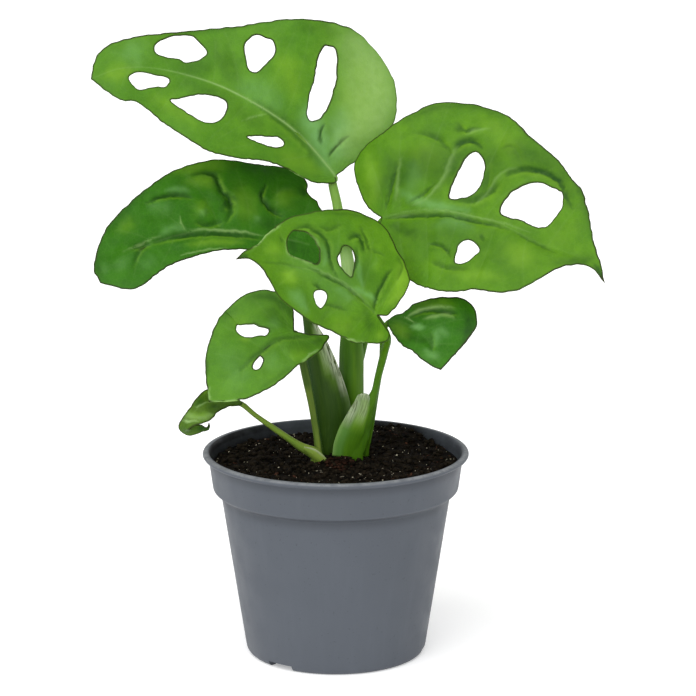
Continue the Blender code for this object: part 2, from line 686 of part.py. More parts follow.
def notch_cutter():
    """The notches through the foot ring as one hidden solid of separate blocks."""
    points = []
    faces = []
    block = [(0, 3, 2, 1), (4, 5, 6, 7), (0, 1, 5, 4), (1, 2, 6, 5), (2, 3, 7, 6), (3, 0, 4, 7)]
    half = NOTCH_WIDTH / 2
    for k in range(NOTCHES):
        turn = NOTCH_TURN + 2 * math.pi * k / NOTCHES
        out = Vector((math.cos(turn), math.sin(turn), 0.0))
        aside = Vector((-out.y, out.x, 0.0))
        start = len(points)
        for z in (-2.0, NOTCH_HEIGHT):
            for r, s in ((RING_IN_R - 3, -half), (WALL_FOOT_R + 4, -half),
                         (WALL_FOOT_R + 4, half), (RING_IN_R - 3, half)):
                points.append(out * r + aside * s + Vector((0, 0, z)))
        faces += [tuple(i + start for i in f) for f in block]
    return make_cutter("pot.notches", points, faces)


def soil_height(x, y):
    """The lumpy surface, heaped round the stalks."""
    away = math.hypot(x - MOUND_X, y)
    mound = MOUND_RISE * math.exp(-((away / MOUND_R) ** 2))
    lump = noise.noise(Vector((x, y, 3.0)) / CLOD_SIZE)
    return SOIL_EDGE_Z + mound + CLOD_RISE * lump


def make_soil(holes):
    """The soil that fills the pot, with one plain hole for each stalk."""
    below = [p for p in pot_inside(CLEARANCE) if p[1] < SOIL_EDGE_Z - 1]
    below.reverse()
    edge_r = band_r(SOIL_EDGE_Z) - WALL - CLEARANCE
    profile = below + [(edge_r, SOIL_EDGE_Z)] + [(r, SOIL_EDGE_Z) for r in SOIL_RINGS[::-1]]
    points, faces = turned(profile + [(0.0, SOIL_EDGE_Z)], SOIL_SIDES)
    raised = []
    for i, (x, y, z) in enumerate(points):
        reach = math.hypot(x, y)
        if z == SOIL_EDGE_Z and reach < edge_r - 1:
            z = soil_height(x, y)
        raised.append((x, y, z))
    soil = add_object("soil", raised, faces, finish("soil", (0.012, 0.008, 0.006), 0.95))
    for hole in holes:
        cut(soil, hole)
    round_shading(soil, 60)


def main():
    clear_scene()
    make_pot()
    holes = [
        leaf_top(),
        leaf_right(),
        leaf_centre(),
        leaf_left(),
        leaf_lower_left(),
        leaf_small_right(),
        leaf_curled(),
    ]
    make_soil(holes)


main()
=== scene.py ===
"""The finish of a potted swiss cheese vine: pot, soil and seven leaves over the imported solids.

Each leaf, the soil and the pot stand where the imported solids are. The tables of leaves are
in millimetres. There u runs along a midrib and v across it, to the left above zero.
"""

import math
import random

import bpy
import numpy as np
from bpy.props import (
    EnumProperty, FloatProperty, FloatVectorProperty, IntProperty, PointerProperty)
from mathutils import Euler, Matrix, Vector, geometry, kdtree, noise


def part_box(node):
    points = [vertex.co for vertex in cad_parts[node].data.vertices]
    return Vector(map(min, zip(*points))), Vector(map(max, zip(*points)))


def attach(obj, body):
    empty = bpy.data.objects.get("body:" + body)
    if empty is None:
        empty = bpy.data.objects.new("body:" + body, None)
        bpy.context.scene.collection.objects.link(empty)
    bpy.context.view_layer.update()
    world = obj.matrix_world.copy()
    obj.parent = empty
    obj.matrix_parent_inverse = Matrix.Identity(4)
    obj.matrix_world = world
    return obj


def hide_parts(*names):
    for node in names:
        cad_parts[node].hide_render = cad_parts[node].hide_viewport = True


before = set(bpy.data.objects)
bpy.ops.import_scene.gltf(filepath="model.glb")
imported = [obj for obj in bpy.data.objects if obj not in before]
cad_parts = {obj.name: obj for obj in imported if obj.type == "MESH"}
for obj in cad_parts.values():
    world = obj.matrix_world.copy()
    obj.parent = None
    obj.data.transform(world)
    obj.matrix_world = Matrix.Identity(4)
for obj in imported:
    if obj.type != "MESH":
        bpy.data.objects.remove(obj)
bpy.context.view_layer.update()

bl_info = {
    "name": "Potted swiss cheese vine",
    "version": (1, 0, 0),
    "blender": (4, 5, 0),
    "location": "3D View > Sidebar > Plant",
    "description": "Models the leaves, soil and pot of a young swiss cheese vine",
    "category": "Add Mesh",
}

MM = 0.001
POT_LOW, POT_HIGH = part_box("pot")

# Pot, in millimetres
BAND_TOP_R = 57.6
BAND_TOP_Z = 93.0
BAND_FOOT_R = 55.3
BAND_FOOT_Z = 75.4
WALL_TOP_R = 51.7
WALL_FOOT_R = 41.0
WALL_FOOT_Z = 3.6
FLOOR_Z = 3.0
PAD_R = 14.0
RING_IN_R = 35.4
RING_OUT_R = 38.4
DRAIN_HOLES = 8
DRAIN_SIDES = 32
DRAIN_R = 4.0
DRAIN_AT_R = 25.0
DRAIN_ROD_Z = 3.7
DRAIN_ROD_LENGTH = 4.5
NOTCHES = 3
NOTCH_WIDTH = 13.0
NOTCH_HEIGHT = 2.7
NOTCH_BLOCK_DEPTH = 12.6
NOTCH_TURN = math.radians(232.0)
CORNER = 0.7
CORNER_STEPS = 3
SHARP_ANGLE = math.radians(38.0)

# Soil, in millimetres. Each heap is (x, y, radius, rise), and each layer of lumps is
# (size, rise, level in the noise).
SOIL_EDGE_Z = 87.0
SOIL_GAP = 0.3
SOIL_SIDES = 240
SOIL_RING_STEP = 1.15
HEAPS = ((2.0, 0.0, 30.0, 4.0), (29.0, 44.0, 18.0, 5.6), (3.0, -14.0, 4.5, 3.0),
         (-4.0, -15.0, 4.0, 1.5))
LUMP_LAYERS = ((11.0, 1.1, 3.0), (4.6, 0.9, 9.0), (2.1, 0.55, 9.0))
STALK_ROOM = 0.6
LUMP_FORMS = 3
LUMP_ROUGHNESS = 0.9

# Stage, in metres
AIM = Vector((0.0055, 0.0, 0.140))
LIGHT_WAY = Vector((0.40, 0.95, -1.10))
VIEW_REACH = 100.0

# Leaves and stalks, with lengths in millimetres
STATIONS = 60
FOLD_REACH = 3.0
WIDEST = 70.0
RIM_ROWS = (0.4, 1.0)
LINE_ROWS = (0.0, 0.5, 1.1)
FINE_MARK = 2.0
CALM_EDGE = 3.5
EDGE_WOBBLE = 0.4
WOBBLE_SIZE = 2.7
WOBBLE_ENDS = 4
ROUND_RIM = 0.6
UNDERSIDE_TINTS = 0.4
TOWARDS_LIGHT = (-0.5, -0.2, 0.84)
LEAF_GLOW = (0.9, 1.0, 0.1)
FOOT_DEPTH = 14.0
FOOT_TOP_Z = 93.0
MIDRIB_R = 1.2
MIDRIB_TIP_R = 0.45
MIDRIB_REACH = 0.9
MIDRIB_STOPS = 6
MIDRIB_SINK = 0.45
STALK_STEPS = 6

# A blade's ways across are to the left of its midrib, from the stalk to the tip, and fold
# and arch, in degrees, and wave bend it. Each vein is (where it leaves the midrib, where it
# ends). Each mark is (tint, strength, rise, width, points), a soft ridge above zero and a
# soft crease below it. A foot is (x, y, half width, half depth), and each row of a stalk or
# flap is (x, y, z, half width, half depth, curl). A flap is the loose front of a sheath.
# Each row of sheath or flap_tints is (tint, strength, from z, to z, from, to) with its place
# across from -1 to 1. Where behind is given, the underside shows, and it is how strong the
# tints are there.
# In order, these tints are painted light on lit bulges and beside creases, also a yellower tone on
# some stalks; a painted sheen, the light's reflection on the glossy skin; painted shade in creases
# and where leaves shade a stalk; the midribs' own pale colour and a painted highlight on lit edges
# and ridges; and the dry sheath edges' own colour.
TINTS = ("warm", "bloom", "dark", "pale", "paper")
LEAVES = {
    "leaf_top": dict(
        rib=[(0, 34, 212), (-11, 31, 226), (-23.5, 27.5, 238), (-38, 25, 247.5), (-53, 24, 255),
             (-68.5, 23, 260), (-82.5, 20.5, 263), (-96, 17, 263), (-108, 13, 259)],
        across=((-0.66, -0.4, -0.6), (-0.1, -0.55, -0.83)),
        fold=(6, 14), arch=(2, 3), wave=(0.8, 55, 0),
        left_edge=[(0, 0), (-2, 2), (1, 6), (9, 12.5), (29, 19), (50, 28), (66.5, 31.5),
                   (91, 25.5), (110, 17), (121, 15), (128.5, 0)],
        right_edge=[(0, 0), (-1, -11), (-3.5, -24), (0.5, -36), (7, -44), (14, -50.5), (21, -54),
                    (26.5, -55), (33.5, -54.5), (45.5, -47), (58, -39), (72.5, -27.5), (95, -17),
                    (116.5, -11.5), (124, -6.5), (128.5, 0)],
        holes=[
            [(65, -25), (62.5, -28.5), (59.5, -28.5), (56.5, -29), (53.5, -24.5), (54.5, -19),
             (56, -14), (58, -12.5), (60.5, -13), (65, -20)],
            [(99.5, -9), (98, -12), (92.5, -16), (86, -18), (82.5, -16), (78.5, -13), (79.5, -9.5),
             (82.5, -7), (86.5, -5.5), (89.5, -6.5), (94.5, -6), (98, -6.5)],
            [(37, -40.5), (34, -41), (29.5, -33), (26.5, -25.5), (24, -17), (24, -11.5), (26, -8.5),
             (29, -9.5), (32.5, -16), (34.5, -23), (37.5, -32), (38, -38)],
            [(111.5, 6), (110, 3.5), (105.5, 2.5), (97.5, 3.5), (94, 3.5), (91.5, 4.5), (93, 8),
             (98, 9), (106.5, 11), (109.5, 9)],
            [(89.5, 14), (85.5, 12.5), (76, 7.5), (70.5, 6), (65, 5.5), (62, 8), (62, 13.5),
             (64.5, 17.5), (70.5, 19.5), (77, 18.5), (84, 16.5)],
            [(47.5, 16), (44, 13.5), (38.5, 10.5), (34.5, 8), (30, 8), (31, 11), (36.5, 14),
             (43, 15.5)],
        ],
        foot=(7, 9, 4.9, 2.4),
        stalk=[(7, 9, 101, 5.4, 2.0, 1.0), (7, 9, 112, 5.6, 1.6, 2.2),
               (7, 9, 124, 5.6, 1.6, 2.2), (7, 9.5, 137, 5.4, 1.6, 1.8),
               (6.5, 11, 148.5, 4.0, 1.8, 1.0), (6, 14, 159, 3.1, 2.2, 0),
               (5.3, 20.5, 175, 3.0, 2.3, 0), (2.5, 27.5, 188, 2.5, 2.2, 0),
               (0.5, 33.5, 199.5, 2.2, 2.0, 0), (-1.5, 36, 208.5, 2.0, 1.8, 0)],
        tone="middle", puff=0.3, midrib=0.75, dry=0.0, stem="fresh",
        veins=[(6, (2, -22)), (14, (17, -46)), (36, (46, -44)), (48, (50, -36)), (60, (74, -24)),
               (72, (77, -20)), (92, (103, -12)), (104, (116, -8)), (14, (26, 15)), (26, (56, 27)),
               (46, (60, 24)), (54, (64, 27)), (84, (94, 20)), (88, (100, 16)), (110, (118, 10))],
        marks=[("bloom", 0.95, 0, 5, [(4, -1), (17.5, -4.5), (26.5, -9.5), (28, -16.5)]),
               ("bloom", 0.8, 0, 5, [(4, -2), (13.5, -13), (18, -23)]),
               ("bloom", 0.4, 0, 6, [(62.5, -4), (52, -5.5), (39.5, -3.5)]),
               ("bloom", 0.4, 0, 6, [(103, -6), (113.5, -8.5)]),
               ("warm", 0.7, 0, 10, [(8, -16), (13, -30.5), (19, -41), (27, -46.5)]),
               ("pale", 0.6, 0, 12, [(2, -8), (8, -22), (11, -33), (17, -43), (28, -50),
                                     (34, -54)]),
               ("warm", 0.5, 0, 5, [(50, -27), (45, -20), (38, -11)]),
               ("warm", 0.4, 0, 4, [(30, 13), (17, 10), (6, 4)]),
               ("warm", 0.6, 0, 4, [(122.5, 1), (116, 1.5), (109, 1.5)]),
               ("warm", 0.35, 0, 4, [(101, 14.5), (88, 17.5), (71, 23)]),
               ("dark", 1, -0.7, 0.7, [(9, -3), (10, -9.5), (10, -16.5)]),
               ("dark", 0.8, -0.5, 0.7, [(15.5, -4), (19, -7.5), (20.5, -11.5)]),
               ("dark", 0.4, 0, 4, [(90, -3), (79.5, -5), (75.5, -10)]),
               ("dark", 0.35, 0, 4.5, [(76.5, -17.5), (69.5, -10.5), (59.5, -1.5)]),
               ("dark", 0.45, -0.4, 2.2, [(8, 2), (24.5, 1.5), (37, 1), (51, 0)]),
               ("dark", 0.3, 0, 4, [(43, 8.5), (55.5, 7), (69.5, 5), (86.5, 4)]),
               ("dark", 0.35, 0, 1.5, [(96, -15.5), (81.5, -22), (66.5, -31)]),
               ("dark", 0.3, 0, 3, [(52, -38), (43, -45), (36, -48.5)]),
               ("pale", 0.35, 0.2, 0.4, [(53, 10.5), (48.5, 5.5), (43.5, 1)]),
               ("pale", 0.8, 0, 0.45, [(29, 19.5), (19.5, 16.5), (9, 12.5)])],
        sheath=[("pale", 0.95, 150, 179, -1.2, 1.2), ("warm", 0.55, 184, 230, -1.2, 1.2),
                ("pale", 0.3, 184, 230, -1.2, 1.2), ("dark", 0.55, 181, 194, -0.1, 1.2),
                ("dark", 0.5, 185, 194, -1.2, 1.2), ("dark", 0.5, 112, 152, -0.95, -0.15),
                ("pale", 0.25, 112, 150, 0.85, 1.2), ("dark", 0.5, 128, 146, 0.35, 0.55),
                ("warm", 0.25, 112, 138, 0.1, 0.8)],
    ),
    "leaf_right": dict(
        rib=[(20.5, 14, 196.5), (33.5, 8, 199.5), (48.5, 1.5, 201), (62.5, -5, 199.5),
             (74, -11, 197.5), (88, -18, 191.5), (103, -25.5, 187.5), (111.5, -30, 184),
             (116.5, -35, 176.5)],
        across=((0.12, 0.55, 0.82), (0.5, 0.5, 0.7)),
        fold=(18, 6), arch=(3, 4), wave=(0.6, 50, 1),
        left_edge=[(0, 0), (-7, 6), (-12, 18), (-13, 27.5), (-7.5, 34.5), (1.5, 39), (9, 43.5),
                   (21.5, 52), (30, 52.5), (35.5, 51.5), (49, 47.5), (58.5, 40), (70, 35),
                   (85, 30), (91.5, 22), (100.5, 7.5), (106, 3), (114.5, 0)],
        right_edge=[(0, 0), (-1, -5.5), (3.5, -12), (9.5, -23), (20.5, -34), (38, -37.5),
                    (49.5, -36), (75, -28.5), (89, -11.5), (96, -5), (104, -2), (114.5, 0)],
        holes=[
            [(37.5, 29.5), (40, 28), (42.5, 24), (43.5, 18), (42.5, 13), (39.5, 9), (34, 7),
             (31.5, 8), (32.5, 15), (34, 22.5), (35.5, 27.5)],
            [(63.5, 23.5), (68.5, 24.5), (77, 24.5), (80.5, 19), (79.5, 13), (77.5, 8.5), (73, 6),
             (64.5, 5.5), (61.5, 4.5), (57, 4.5), (55.5, 6.5), (56.5, 12.5), (59, 18)],
            [(45.5, -11.5), (49, -11.5), (54, -15), (52, -18.5), (49, -22), (45, -23),
             (43.5, -18.5), (43.5, -14)],
        ],
        foot=(8, 16, 2.7, 2.4),
        stalk=[(8, 16, 107, 2.7, 2.4, 0), (9, 16.5, 124, 2.5, 2.2, 0),
               (12.5, 17, 139.5, 2.2, 2.1, 0), (16, 17, 158, 2.1, 2.0, 0),
               (18.5, 16.5, 175.5, 1.9, 1.9, 0), (19, 15.5, 188.5, 1.7, 1.7, 0)],
        tone="light", puff=0.5, midrib=0.12, dry=0.8, stem="fresh",
        veins=[(3, (-4, 26)), (9, (10, 38)), (19, (26, 48)), (41, (48, 43)), (50, (66, 33)),
               (82, (88, 22)), (8, (14, -24)), (22, (31, -34)), (38, (40, -32)),
               (56, (62, -30)), (72, (80, -20))],
        marks=[("bloom", 0.6, 0.5, 2.2, [(9.5, 11.5), (16, 6.5), (26.5, 3), (42, 2.5)]),
               ("bloom", 0.4, 1, 3.5, [(28, -7), (37.5, -4), (47, -5.5)]),
               ("bloom", 0.35, 0.8, 3.5, [(13.5, 24.5), (15.5, 16.5), (13, 8.5)]),
               ("warm", 0.6, 0.6, 4.5, [(-7, 30), (-3, 20), (-4, 7)]),
               ("warm", 0.6, 0.8, 5, [(65, -9), (73.5, -9.5), (73.5, -16)]),
               ("warm", 0.2, 0.4, 5, [(81, -0.5), (87, 8.5), (90.5, 14.5)]),
               ("warm", 0.5, 0.4, 3, [(45, -27.5), (58.5, -26.5), (72.5, -22.5)]),
               ("warm", 0.4, 0.8, 6, [(13.5, 29.5), (22, 26), (26.5, 18.5)]),
               ("warm", 0.4, 0.3, 4, [(35.5, 46), (48.5, 37), (55.5, 32)]),
               ("dark", 0.95, -1, 1.3, [(31, 28.5), (32.5, 32.5), (35.5, 34), (40, 31)]),
               ("dark", 0.6, -0.8, 1.6, [(30.5, 13), (32, 21), (32.5, 27)]),
               ("dark", 0.7, -0.7, 1.8, [(33, 5.5), (42.5, 7.5), (49.5, 13), (52, 18)]),
               ("dark", 0.95, -1.1, 1.5, [(53.5, 21), (57.5, 25.5), (64, 28.5), (72, 28),
                                          (80.5, 23.5), (86, 19)]),
               ("dark", 0.5, -0.3, 1.6, [(43.5, 27), (46, 18), (46.5, 10.5)]),
               ("dark", 0.85, -0.9, 0.9, [(9, 25.5), (6.5, 15.5), (2.5, 4)]),
               ("dark", 0.6, -0.5, 0.8, [(14, 5), (20.5, 8.5), (25.5, 13.5)]),
               ("dark", 0.85, -0.6, 1, [(2, -1), (12, -1.5), (29, -2), (47.5, -2), (63, -1)]),
               ("dark", 0.6, 0, 3.2, [(4.5, -4), (12.5, -8), (21, -12.5)]),
               ("dark", 0.55, 0, 8, [(3, 8), (6, 16), (17, 22), (28, 22), (44, 25), (50, 16)]),
               ("dark", 0.25, 0, 9, [(6, -6), (22, -10), (36, -10), (58, -14), (80, -12)]),
               ("dark", 0.45, 0, 6, [(46, 33), (58, 33), (72, 31), (86, 24)]),
               ("dark", 0.5, -0.3, 0.7, [(64.5, -1), (76, -1), (87, -2.5)]),
               ("dark", 0.8, -0.8, 1, [(26, -16), (35.5, -17), (42.5, -21)]),
               ("dark", 0.6, -0.4, 1.8, [(50.5, -7), (54.5, -10.5)]),
               ("dark", 0.7, -0.7, 1, [(30, 42), (32.5, 38.5), (37, 40.5)]),
               ("dark", 0.5, -0.7, 1, [(47.5, 32.5), (53, 34.5), (57, 27.5)]),
               ("dark", 0.6, -0.7, 1.2, [(15.5, 37), (23, 35), (28, 30), (30, 25.5)]),
               ("dark", 0.5, -0.5, 1.2, [(29.5, -24.5), (41.5, -26.5), (53, -25)]),
               ("dark", 0.45, 0, 2, [(11, 42), (19.5, 48.5), (32, 51.5), (44.5, 47.5)]),
               ("dark", 0.5, 0, 2, [(52.5, 44), (64, 38), (85.5, 28.5), (98, 11)]),
               ("dark", 0.5, 0, 2.5, [(88.5, -6.5), (98, -2.5), (102, 2)]),
               ("dark", 0.9, 0, 1.5, [(104.5, 0.5), (113.5, 0)]),
               ("pale", 0.3, 0.7, 0.8, [(15, 3.5), (22.5, 7), (28, 15), (30, 23.5), (31, 30.5)]),
               ("pale", 0.25, 0.7, 0.8, [(43, 5.5), (47.5, 12), (51, 21), (55.5, 26)]),
               ("pale", 0.35, 0, 0.8, [(10, 26), (8.5, 16), (7.5, 7)]),
               ("pale", 0.3, 0.5, 0.5, [(2, 0.5), (19, 1), (39, 0.5), (55, 0.5), (71.5, 2.5)]),
               ("pale", 0.2, 0, 0.5, [(4.5, -1), (12, -0.5), (21.5, 0)]),
               ("pale", 0.3, 0.2, 0.8, [(33, 37), (36, 39.5), (40, 41)])],
        sheath=[],
    ),
    "leaf_centre": dict(
        rib=[(18.5, -27, 160.5), (10.5, -29.5, 168.5), (0.5, -33, 177.5), (-10, -36.5, 182.5),
             (-22, -40.5, 185.5), (-31.5, -44, 188.5), (-37, -46, 190.5), (-42.5, -48, 189.5)],
        across=((-0.55, -0.42, -0.72), (0.1, -0.6, -0.8)),
        fold=(4, 12), arch=(2, 3), wave=(0.8, 40, 0),
        left_edge=[(0, 0), (-4, 1), (-9, 2), (-10.5, 5.5), (-7.5, 9.5), (-3, 13), (2.5, 17),
                   (11.5, 19.5), (20.5, 22), (31.5, 23), (42, 21.5), (51.5, 16.5), (57, 9),
                   (60.5, 4.5), (64.5, 2), (73.5, 0)],
        right_edge=[(0, 0), (-3.5, -3), (-4, -7.5), (-3.5, -13.5), (-2, -19.5), (1.5, -23),
                    (10.5, -28), (18.5, -32.5), (23, -33), (32, -30), (43.5, -24), (50.5, -21.5),
                    (57, -16), (62.5, -9.5), (66.5, -4), (73.5, 0)],
        holes=[
            [(28.5, -9), (27, -6.5), (22.5, -5), (20.5, -5.5), (22, -9.5), (23.5, -13.5),
             (25.5, -15.5), (28, -15), (28.5, -11.5)],
            [(50, -10), (48.5, -5.5), (45, -4.5), (41, -4), (36, -3.5), (36, -8), (38.5, -12.5),
             (40.5, -15), (43.5, -16), (47.5, -15.5), (49.5, -13)],
            [(35, 9.5), (33, 8), (30, 7.5), (27.5, 8.5), (27, 12), (28.5, 15), (32, 14.5),
             (34.5, 12)],
        ],
        foot=(6.5, -7, 5.8, 2.2),
        stalk=[(7.6, -7, 101, 7.2, 1.3, 1.2), (10.7, -7, 108.6, 5.8, 1.2, 1.6),
               (14.8, -7.5, 116, 3.3, 1.4, 0.7), (17.3, -8, 121.5, 1.7, 1.6, 0.1),
               (19, -9.5, 129.5, 1.6, 1.6, 0), (21.6, -14, 141.5, 1.8, 1.7, 0),
               (22.6, -21, 150, 1.7, 1.6, 0)],
        tone="light", puff=0.45, midrib=0.12, dry=0.8, stem="fresh",
        veins=[(2, (3, -18)), (12, (21, -24)), (28, (32, -24)), (46, (54, -14)), (5, (6, 14)),
               (14, (22, 18)), (32, (39, 19)), (45, (53, 10))],
        marks=[("bloom", 0.22, 0, 14, [(10, -2), (30, -2), (50, -2)]),
               ("bloom", 0.6, 0.6, 1.5, [(22, 1), (14.5, -2.5), (8.5, -4), (4, -4)]),
               ("bloom", 0.6, 0.7, 1.5, [(23, -14.5), (18, -8), (11.5, -3.5)]),
               ("bloom", 0.5, 0.6, 1.6, [(36, -12.5), (33, -7), (33.5, -2.5)]),
               ("bloom", 0.45, 0.6, 3, [(28, 5), (18.5, 3), (13.5, 4)]),
               ("bloom", 0.5, 0.3, 3.5, [(48, 12), (43, 15), (37, 19.5)]),
               ("warm", 0.45, 0.5, 3, [(60.5, -4), (53.5, -8)]),
               ("warm", 0.9, 0.6, 3.5, [(49.5, 2), (47, 8)]),
               ("warm", 0.9, 0.5, 3.5, [(6.5, -25), (2, -19.5), (-1, -13), (0, -6)]),
               ("warm", 0.25, 0.6, 3, [(16.5, -16.5), (12, -16.5)]),
               ("warm", 0.3, 0.5, 4, [(18, 17.5), (7.5, 12)]),
               ("warm", 0.5, 0.3, 2, [(-4, 6), (-8, 6)]),
               ("dark", 0.9, -0.9, 0.9, [(27.5, -18), (25.5, -21.5), (23, -20.5), (21.5, -17.5)]),
               ("dark", 0.7, -0.6, 1, [(24, -17), (21.5, -11.5), (20.5, -4.5)]),
               ("dark", 0.85, -0.9, 0.9, [(2, 0.5), (5.5, -5.5), (7.5, -14), (8, -19)]),
               ("dark", 0.6, -0.6, 0.7, [(25.5, -25.5), (23, -23.5), (20, -20.5), (14, -22)]),
               ("dark", 0.85, -0.9, 1, [(47, -16.5), (41.5, -18), (36.5, -15.5), (33, -12.5),
                                        (30.5, -6), (25, -1)]),
               ("dark", 0.7, -0.5, 0.8, [(39.5, -0.5), (28.5, 1), (16.5, 0), (2.5, 0)]),
               ("dark", 0.4, -0.2, 0.7, [(61, 1), (51.5, -0.5), (41.5, 0)]),
               ("dark", 0.6, -0.5, 0.8, [(28.5, 13.5), (20.5, 11), (14, 8.5)]),
               ("dark", 0.8, -0.6, 0.9, [(36.5, 6), (32, 7.5)]),
               ("dark", 0.5, 0, 2.4, [(8.5, 1.5), (2.5, 4.5), (-2.5, 7.5)]),
               ("dark", 0.3, 0, 5.5, [(6, -10), (16, -9), (27, -9), (38, -10), (46, -9)]),
               ("dark", 0.5, -0.5, 0.8, [(38.5, -19), (33.5, -19.5), (31, -23.5)]),
               ("dark", 0.4, 0, 1, [(39, -25), (31, -28.5), (24, -32)]),
               ("dark", 0.5, -0.4, 0.7, [(9, -26), (5, -23), (3.5, -17.5)]),
               ("dark", 0.9, 0, 1.4, [(72.5, 0), (67.5, -0.5)]),
               ("dark", 0.6, -0.3, 0.6, [(54, -12.5), (52, -10)]),
               ("pale", 0.3, 0.4, 0.5, [(42.5, -2.5), (31.5, -0.5), (18.5, -1), (5, -1.5)]),
               ("pale", 0.5, 0.3, 0.5, [(51, -11.5), (49.5, -6), (44.5, -4), (39, -3), (36, -4.5)]),
               ("pale", 0.4, 0.5, 0.6, [(41.5, -16), (38.5, -13.5), (36, -9.5)]),
               ("pale", 0.8, 0, 0.4, [(14.5, 21.5), (5, 17.5), (-3.5, 12.5)]),
               ("pale", 0.8, 0, 0.4, [(66.5, -3), (60.5, -11.5), (53.5, -18.5)])],
        flap=[(4.2, -8.4, 92, 5.8, 0.7, 0.8), (4.7, -8.6, 97, 5.7, 0.7, 0.9),
              (6.4, -8.8, 102, 5.7, 0.7, 0.9), (9, -9, 108.6, 5.1, 0.7, 0.9),
              (11.3, -9.2, 114.5, 4.2, 0.7, 0.7), (12.2, -9.4, 118.3, 3.3, 0.7, 0.5),
              (12.7, -9.5, 120.4, 2.5, 0.6, 0.3), (12.8, -9.5, 121.5, 1, 0.4, 0)],
        flap_tints=[("paper", 0.85, 119, 126, -1.2, 1.2), ("paper", 0.6, 107, 120, -1.2, -0.3),
                    ("paper", 0.4, 110, 120, -0.3, 0.7), ("pale", 0.5, 88, 120, -1.2, -0.82),
                    ("bloom", 0.3, 84, 106, -1.2, -0.25), ("warm", 0.8, 106, 120, -0.2, 0.8),
                    ("dark", 0.25, 84, 108, 0.1, 1.2)],
        sheath=[("dark", 0.35, 88, 150, 0.75, 1.2), ("dark", 0.3, 122, 150, -1.2, -0.75),
                ("dark", 0.2, 84, 112, -0.4, 0.8)],
    ),
    "leaf_left": dict(
        rib=[(-12.5, 27, 182), (-22.5, 24.5, 185), (-32.5, 21, 187), (-43, 18, 189.5),
             (-57, 13.5, 191), (-69, 8.5, 190), (-80, 3.5, 187.5), (-91, -1.5, 183.5),
             (-99, -6, 179), (-105.5, -10, 174)],
        across=((0, -0.62, -0.78), (0.5, -0.35, -0.8)),
        fold=(20, 10), arch=(3, 3), wave=(0.8, 45, 0),
        left_edge=[(-7.5, -2), (-7, 3), (-6, 7.5), (-3, 11.5), (2, 13.5), (9, 13),
                   (17, 10.5), (24, 10), (30, 10), (39, 11), (50, 12.5), (61.5, 13.5),
                   (72.5, 14), (82.5, 16), (89, 17), (95, 16.5), (99.5, 14), (103.5, 7),
                   (105.5, 3)],
        right_edge=[(-7.5, -2), (-8, -6), (-7.5, -10), (-6.5, -14), (-5, -17.5),
                    (-3, -19.5), (-1, -22), (2, -23.5), (4, -26), (4, -29), (6, -32),
                    (9.5, -35), (15.5, -36), (24.5, -35.5), (31, -34.5), (40.5, -34), (47, -32.5),
                    (57, -29.5), (66, -25.5), (76, -21), (86.5, -16), (95.5, -10), (100.5, -6),
                    (104, -2.5), (104.5, 0.5), (105.5, 3)],
        holes=[],
        foot=(-2.2, 2, 5.8, 2.2),
        stalk=[(-1.3, 2, 102, 7.6, 1.4, 1.5), (-2, 2, 113, 8.5, 1.1, 2.5),
               (-5.6, 2.5, 129, 7.0, 1.1, 2.2), (-8.8, 4, 141, 5.0, 1.3, 1.2),
               (-12, 7.5, 150.5, 2.7, 1.8, 0), (-13.5, 15, 158.5, 2.2, 2.0, 0),
               (-13.5, 23, 166.5, 2.1, 1.9, 0), (-12, 28.5, 174.5, 1.8, 1.7, 0)],
        tone="deep", puff=0.5, midrib=0.12, dry=0.0, stem="dull",
        veins=[(6, (2, -22)), (16, (14, -30)), (28, (34, -30)), (42, (52, -27)), (58, (70, -18)),
               (74, (86, -12)), (12, (18, 7)), (30, (38, 9)), (48, (58, 11)), (64, (76, 12)),
               (80, (92, 11))],
        marks=[("bloom", 0.4, 0.6, 1.8, [(61, -21), (56, -20.5), (52, -18.5)]),
               ("bloom", 0.35, 0.5, 1.6, [(50, -9), (47.5, -7.5)]),
               ("bloom", 0.4, 0.3, 2, [(70, -2), (62.5, -3.5), (57.5, -1.5)]),
               ("bloom", 0.25, 1, 3, [(70, -13.5), (64.5, -14.5), (61.5, -10)]),
               ("bloom", 0.2, 0.4, 2.6, [(95.5, 4), (87, 2)]),
               ("bloom", 0.2, 0.3, 2, [(101.5, 1), (97, -2.5)]),
               ("bloom", 0.15, 0.5, 3.5, [(84.5, 9.5), (75.5, 8)]),
               ("bloom", 0.3, 0.4, 1.6, [(26.5, -8), (23.5, -6.5)]),
               ("dark", 0.6, 0, 2.4, [(9, -1), (7.5, 3.5), (7, 8)]),
               ("dark", 0.25, 0, 2.4, [(3.5, -1), (3, 4), (3.5, 8)]),
               ("warm", 0.45, 1, 4, [(51.5, -22.5), (46, -23.5), (43.5, -20)]),
               ("warm", 0.35, 0.6, 3.5, [(47, -12.5), (51.5, -8)]),
               ("warm", 0.4, 0.4, 4, [(57, -29.5), (47, -30.5), (36.5, -31.5)]),
               ("warm", 0.35, 0.8, 5.5, [(33, -22), (31, -13.5), (30, -6)]),
               ("warm", 0.35, 1.2, 5.5, [(15, -22.5), (10, -16.5)]),
               ("warm", 0.5, 0.3, 2.2, [(60.5, 6.5), (46, 7), (31, 6)]),
               ("warm", 0.25, 0.3, 3.5, [(85.5, -11), (77.5, -12)]),
               ("dark", 0.9, -1, 0.9, [(69.5, -18), (64, -18.5), (57.5, -18), (51.5, -15.5)]),
               ("dark", 0.95, -1.3, 1.2, [(50.5, -26), (46.5, -26.5), (42.5, -25), (40.5, -19),
                                          (37, -14.5), (36.5, -9), (39, -4)]),
               ("dark", 0.9, -0.6, 2.6, [(39, -14.5), (36, -11)]),
               ("dark", 0.7, -0.7, 1.2, [(41, -4), (47.5, -2), (52.5, -4.5)]),
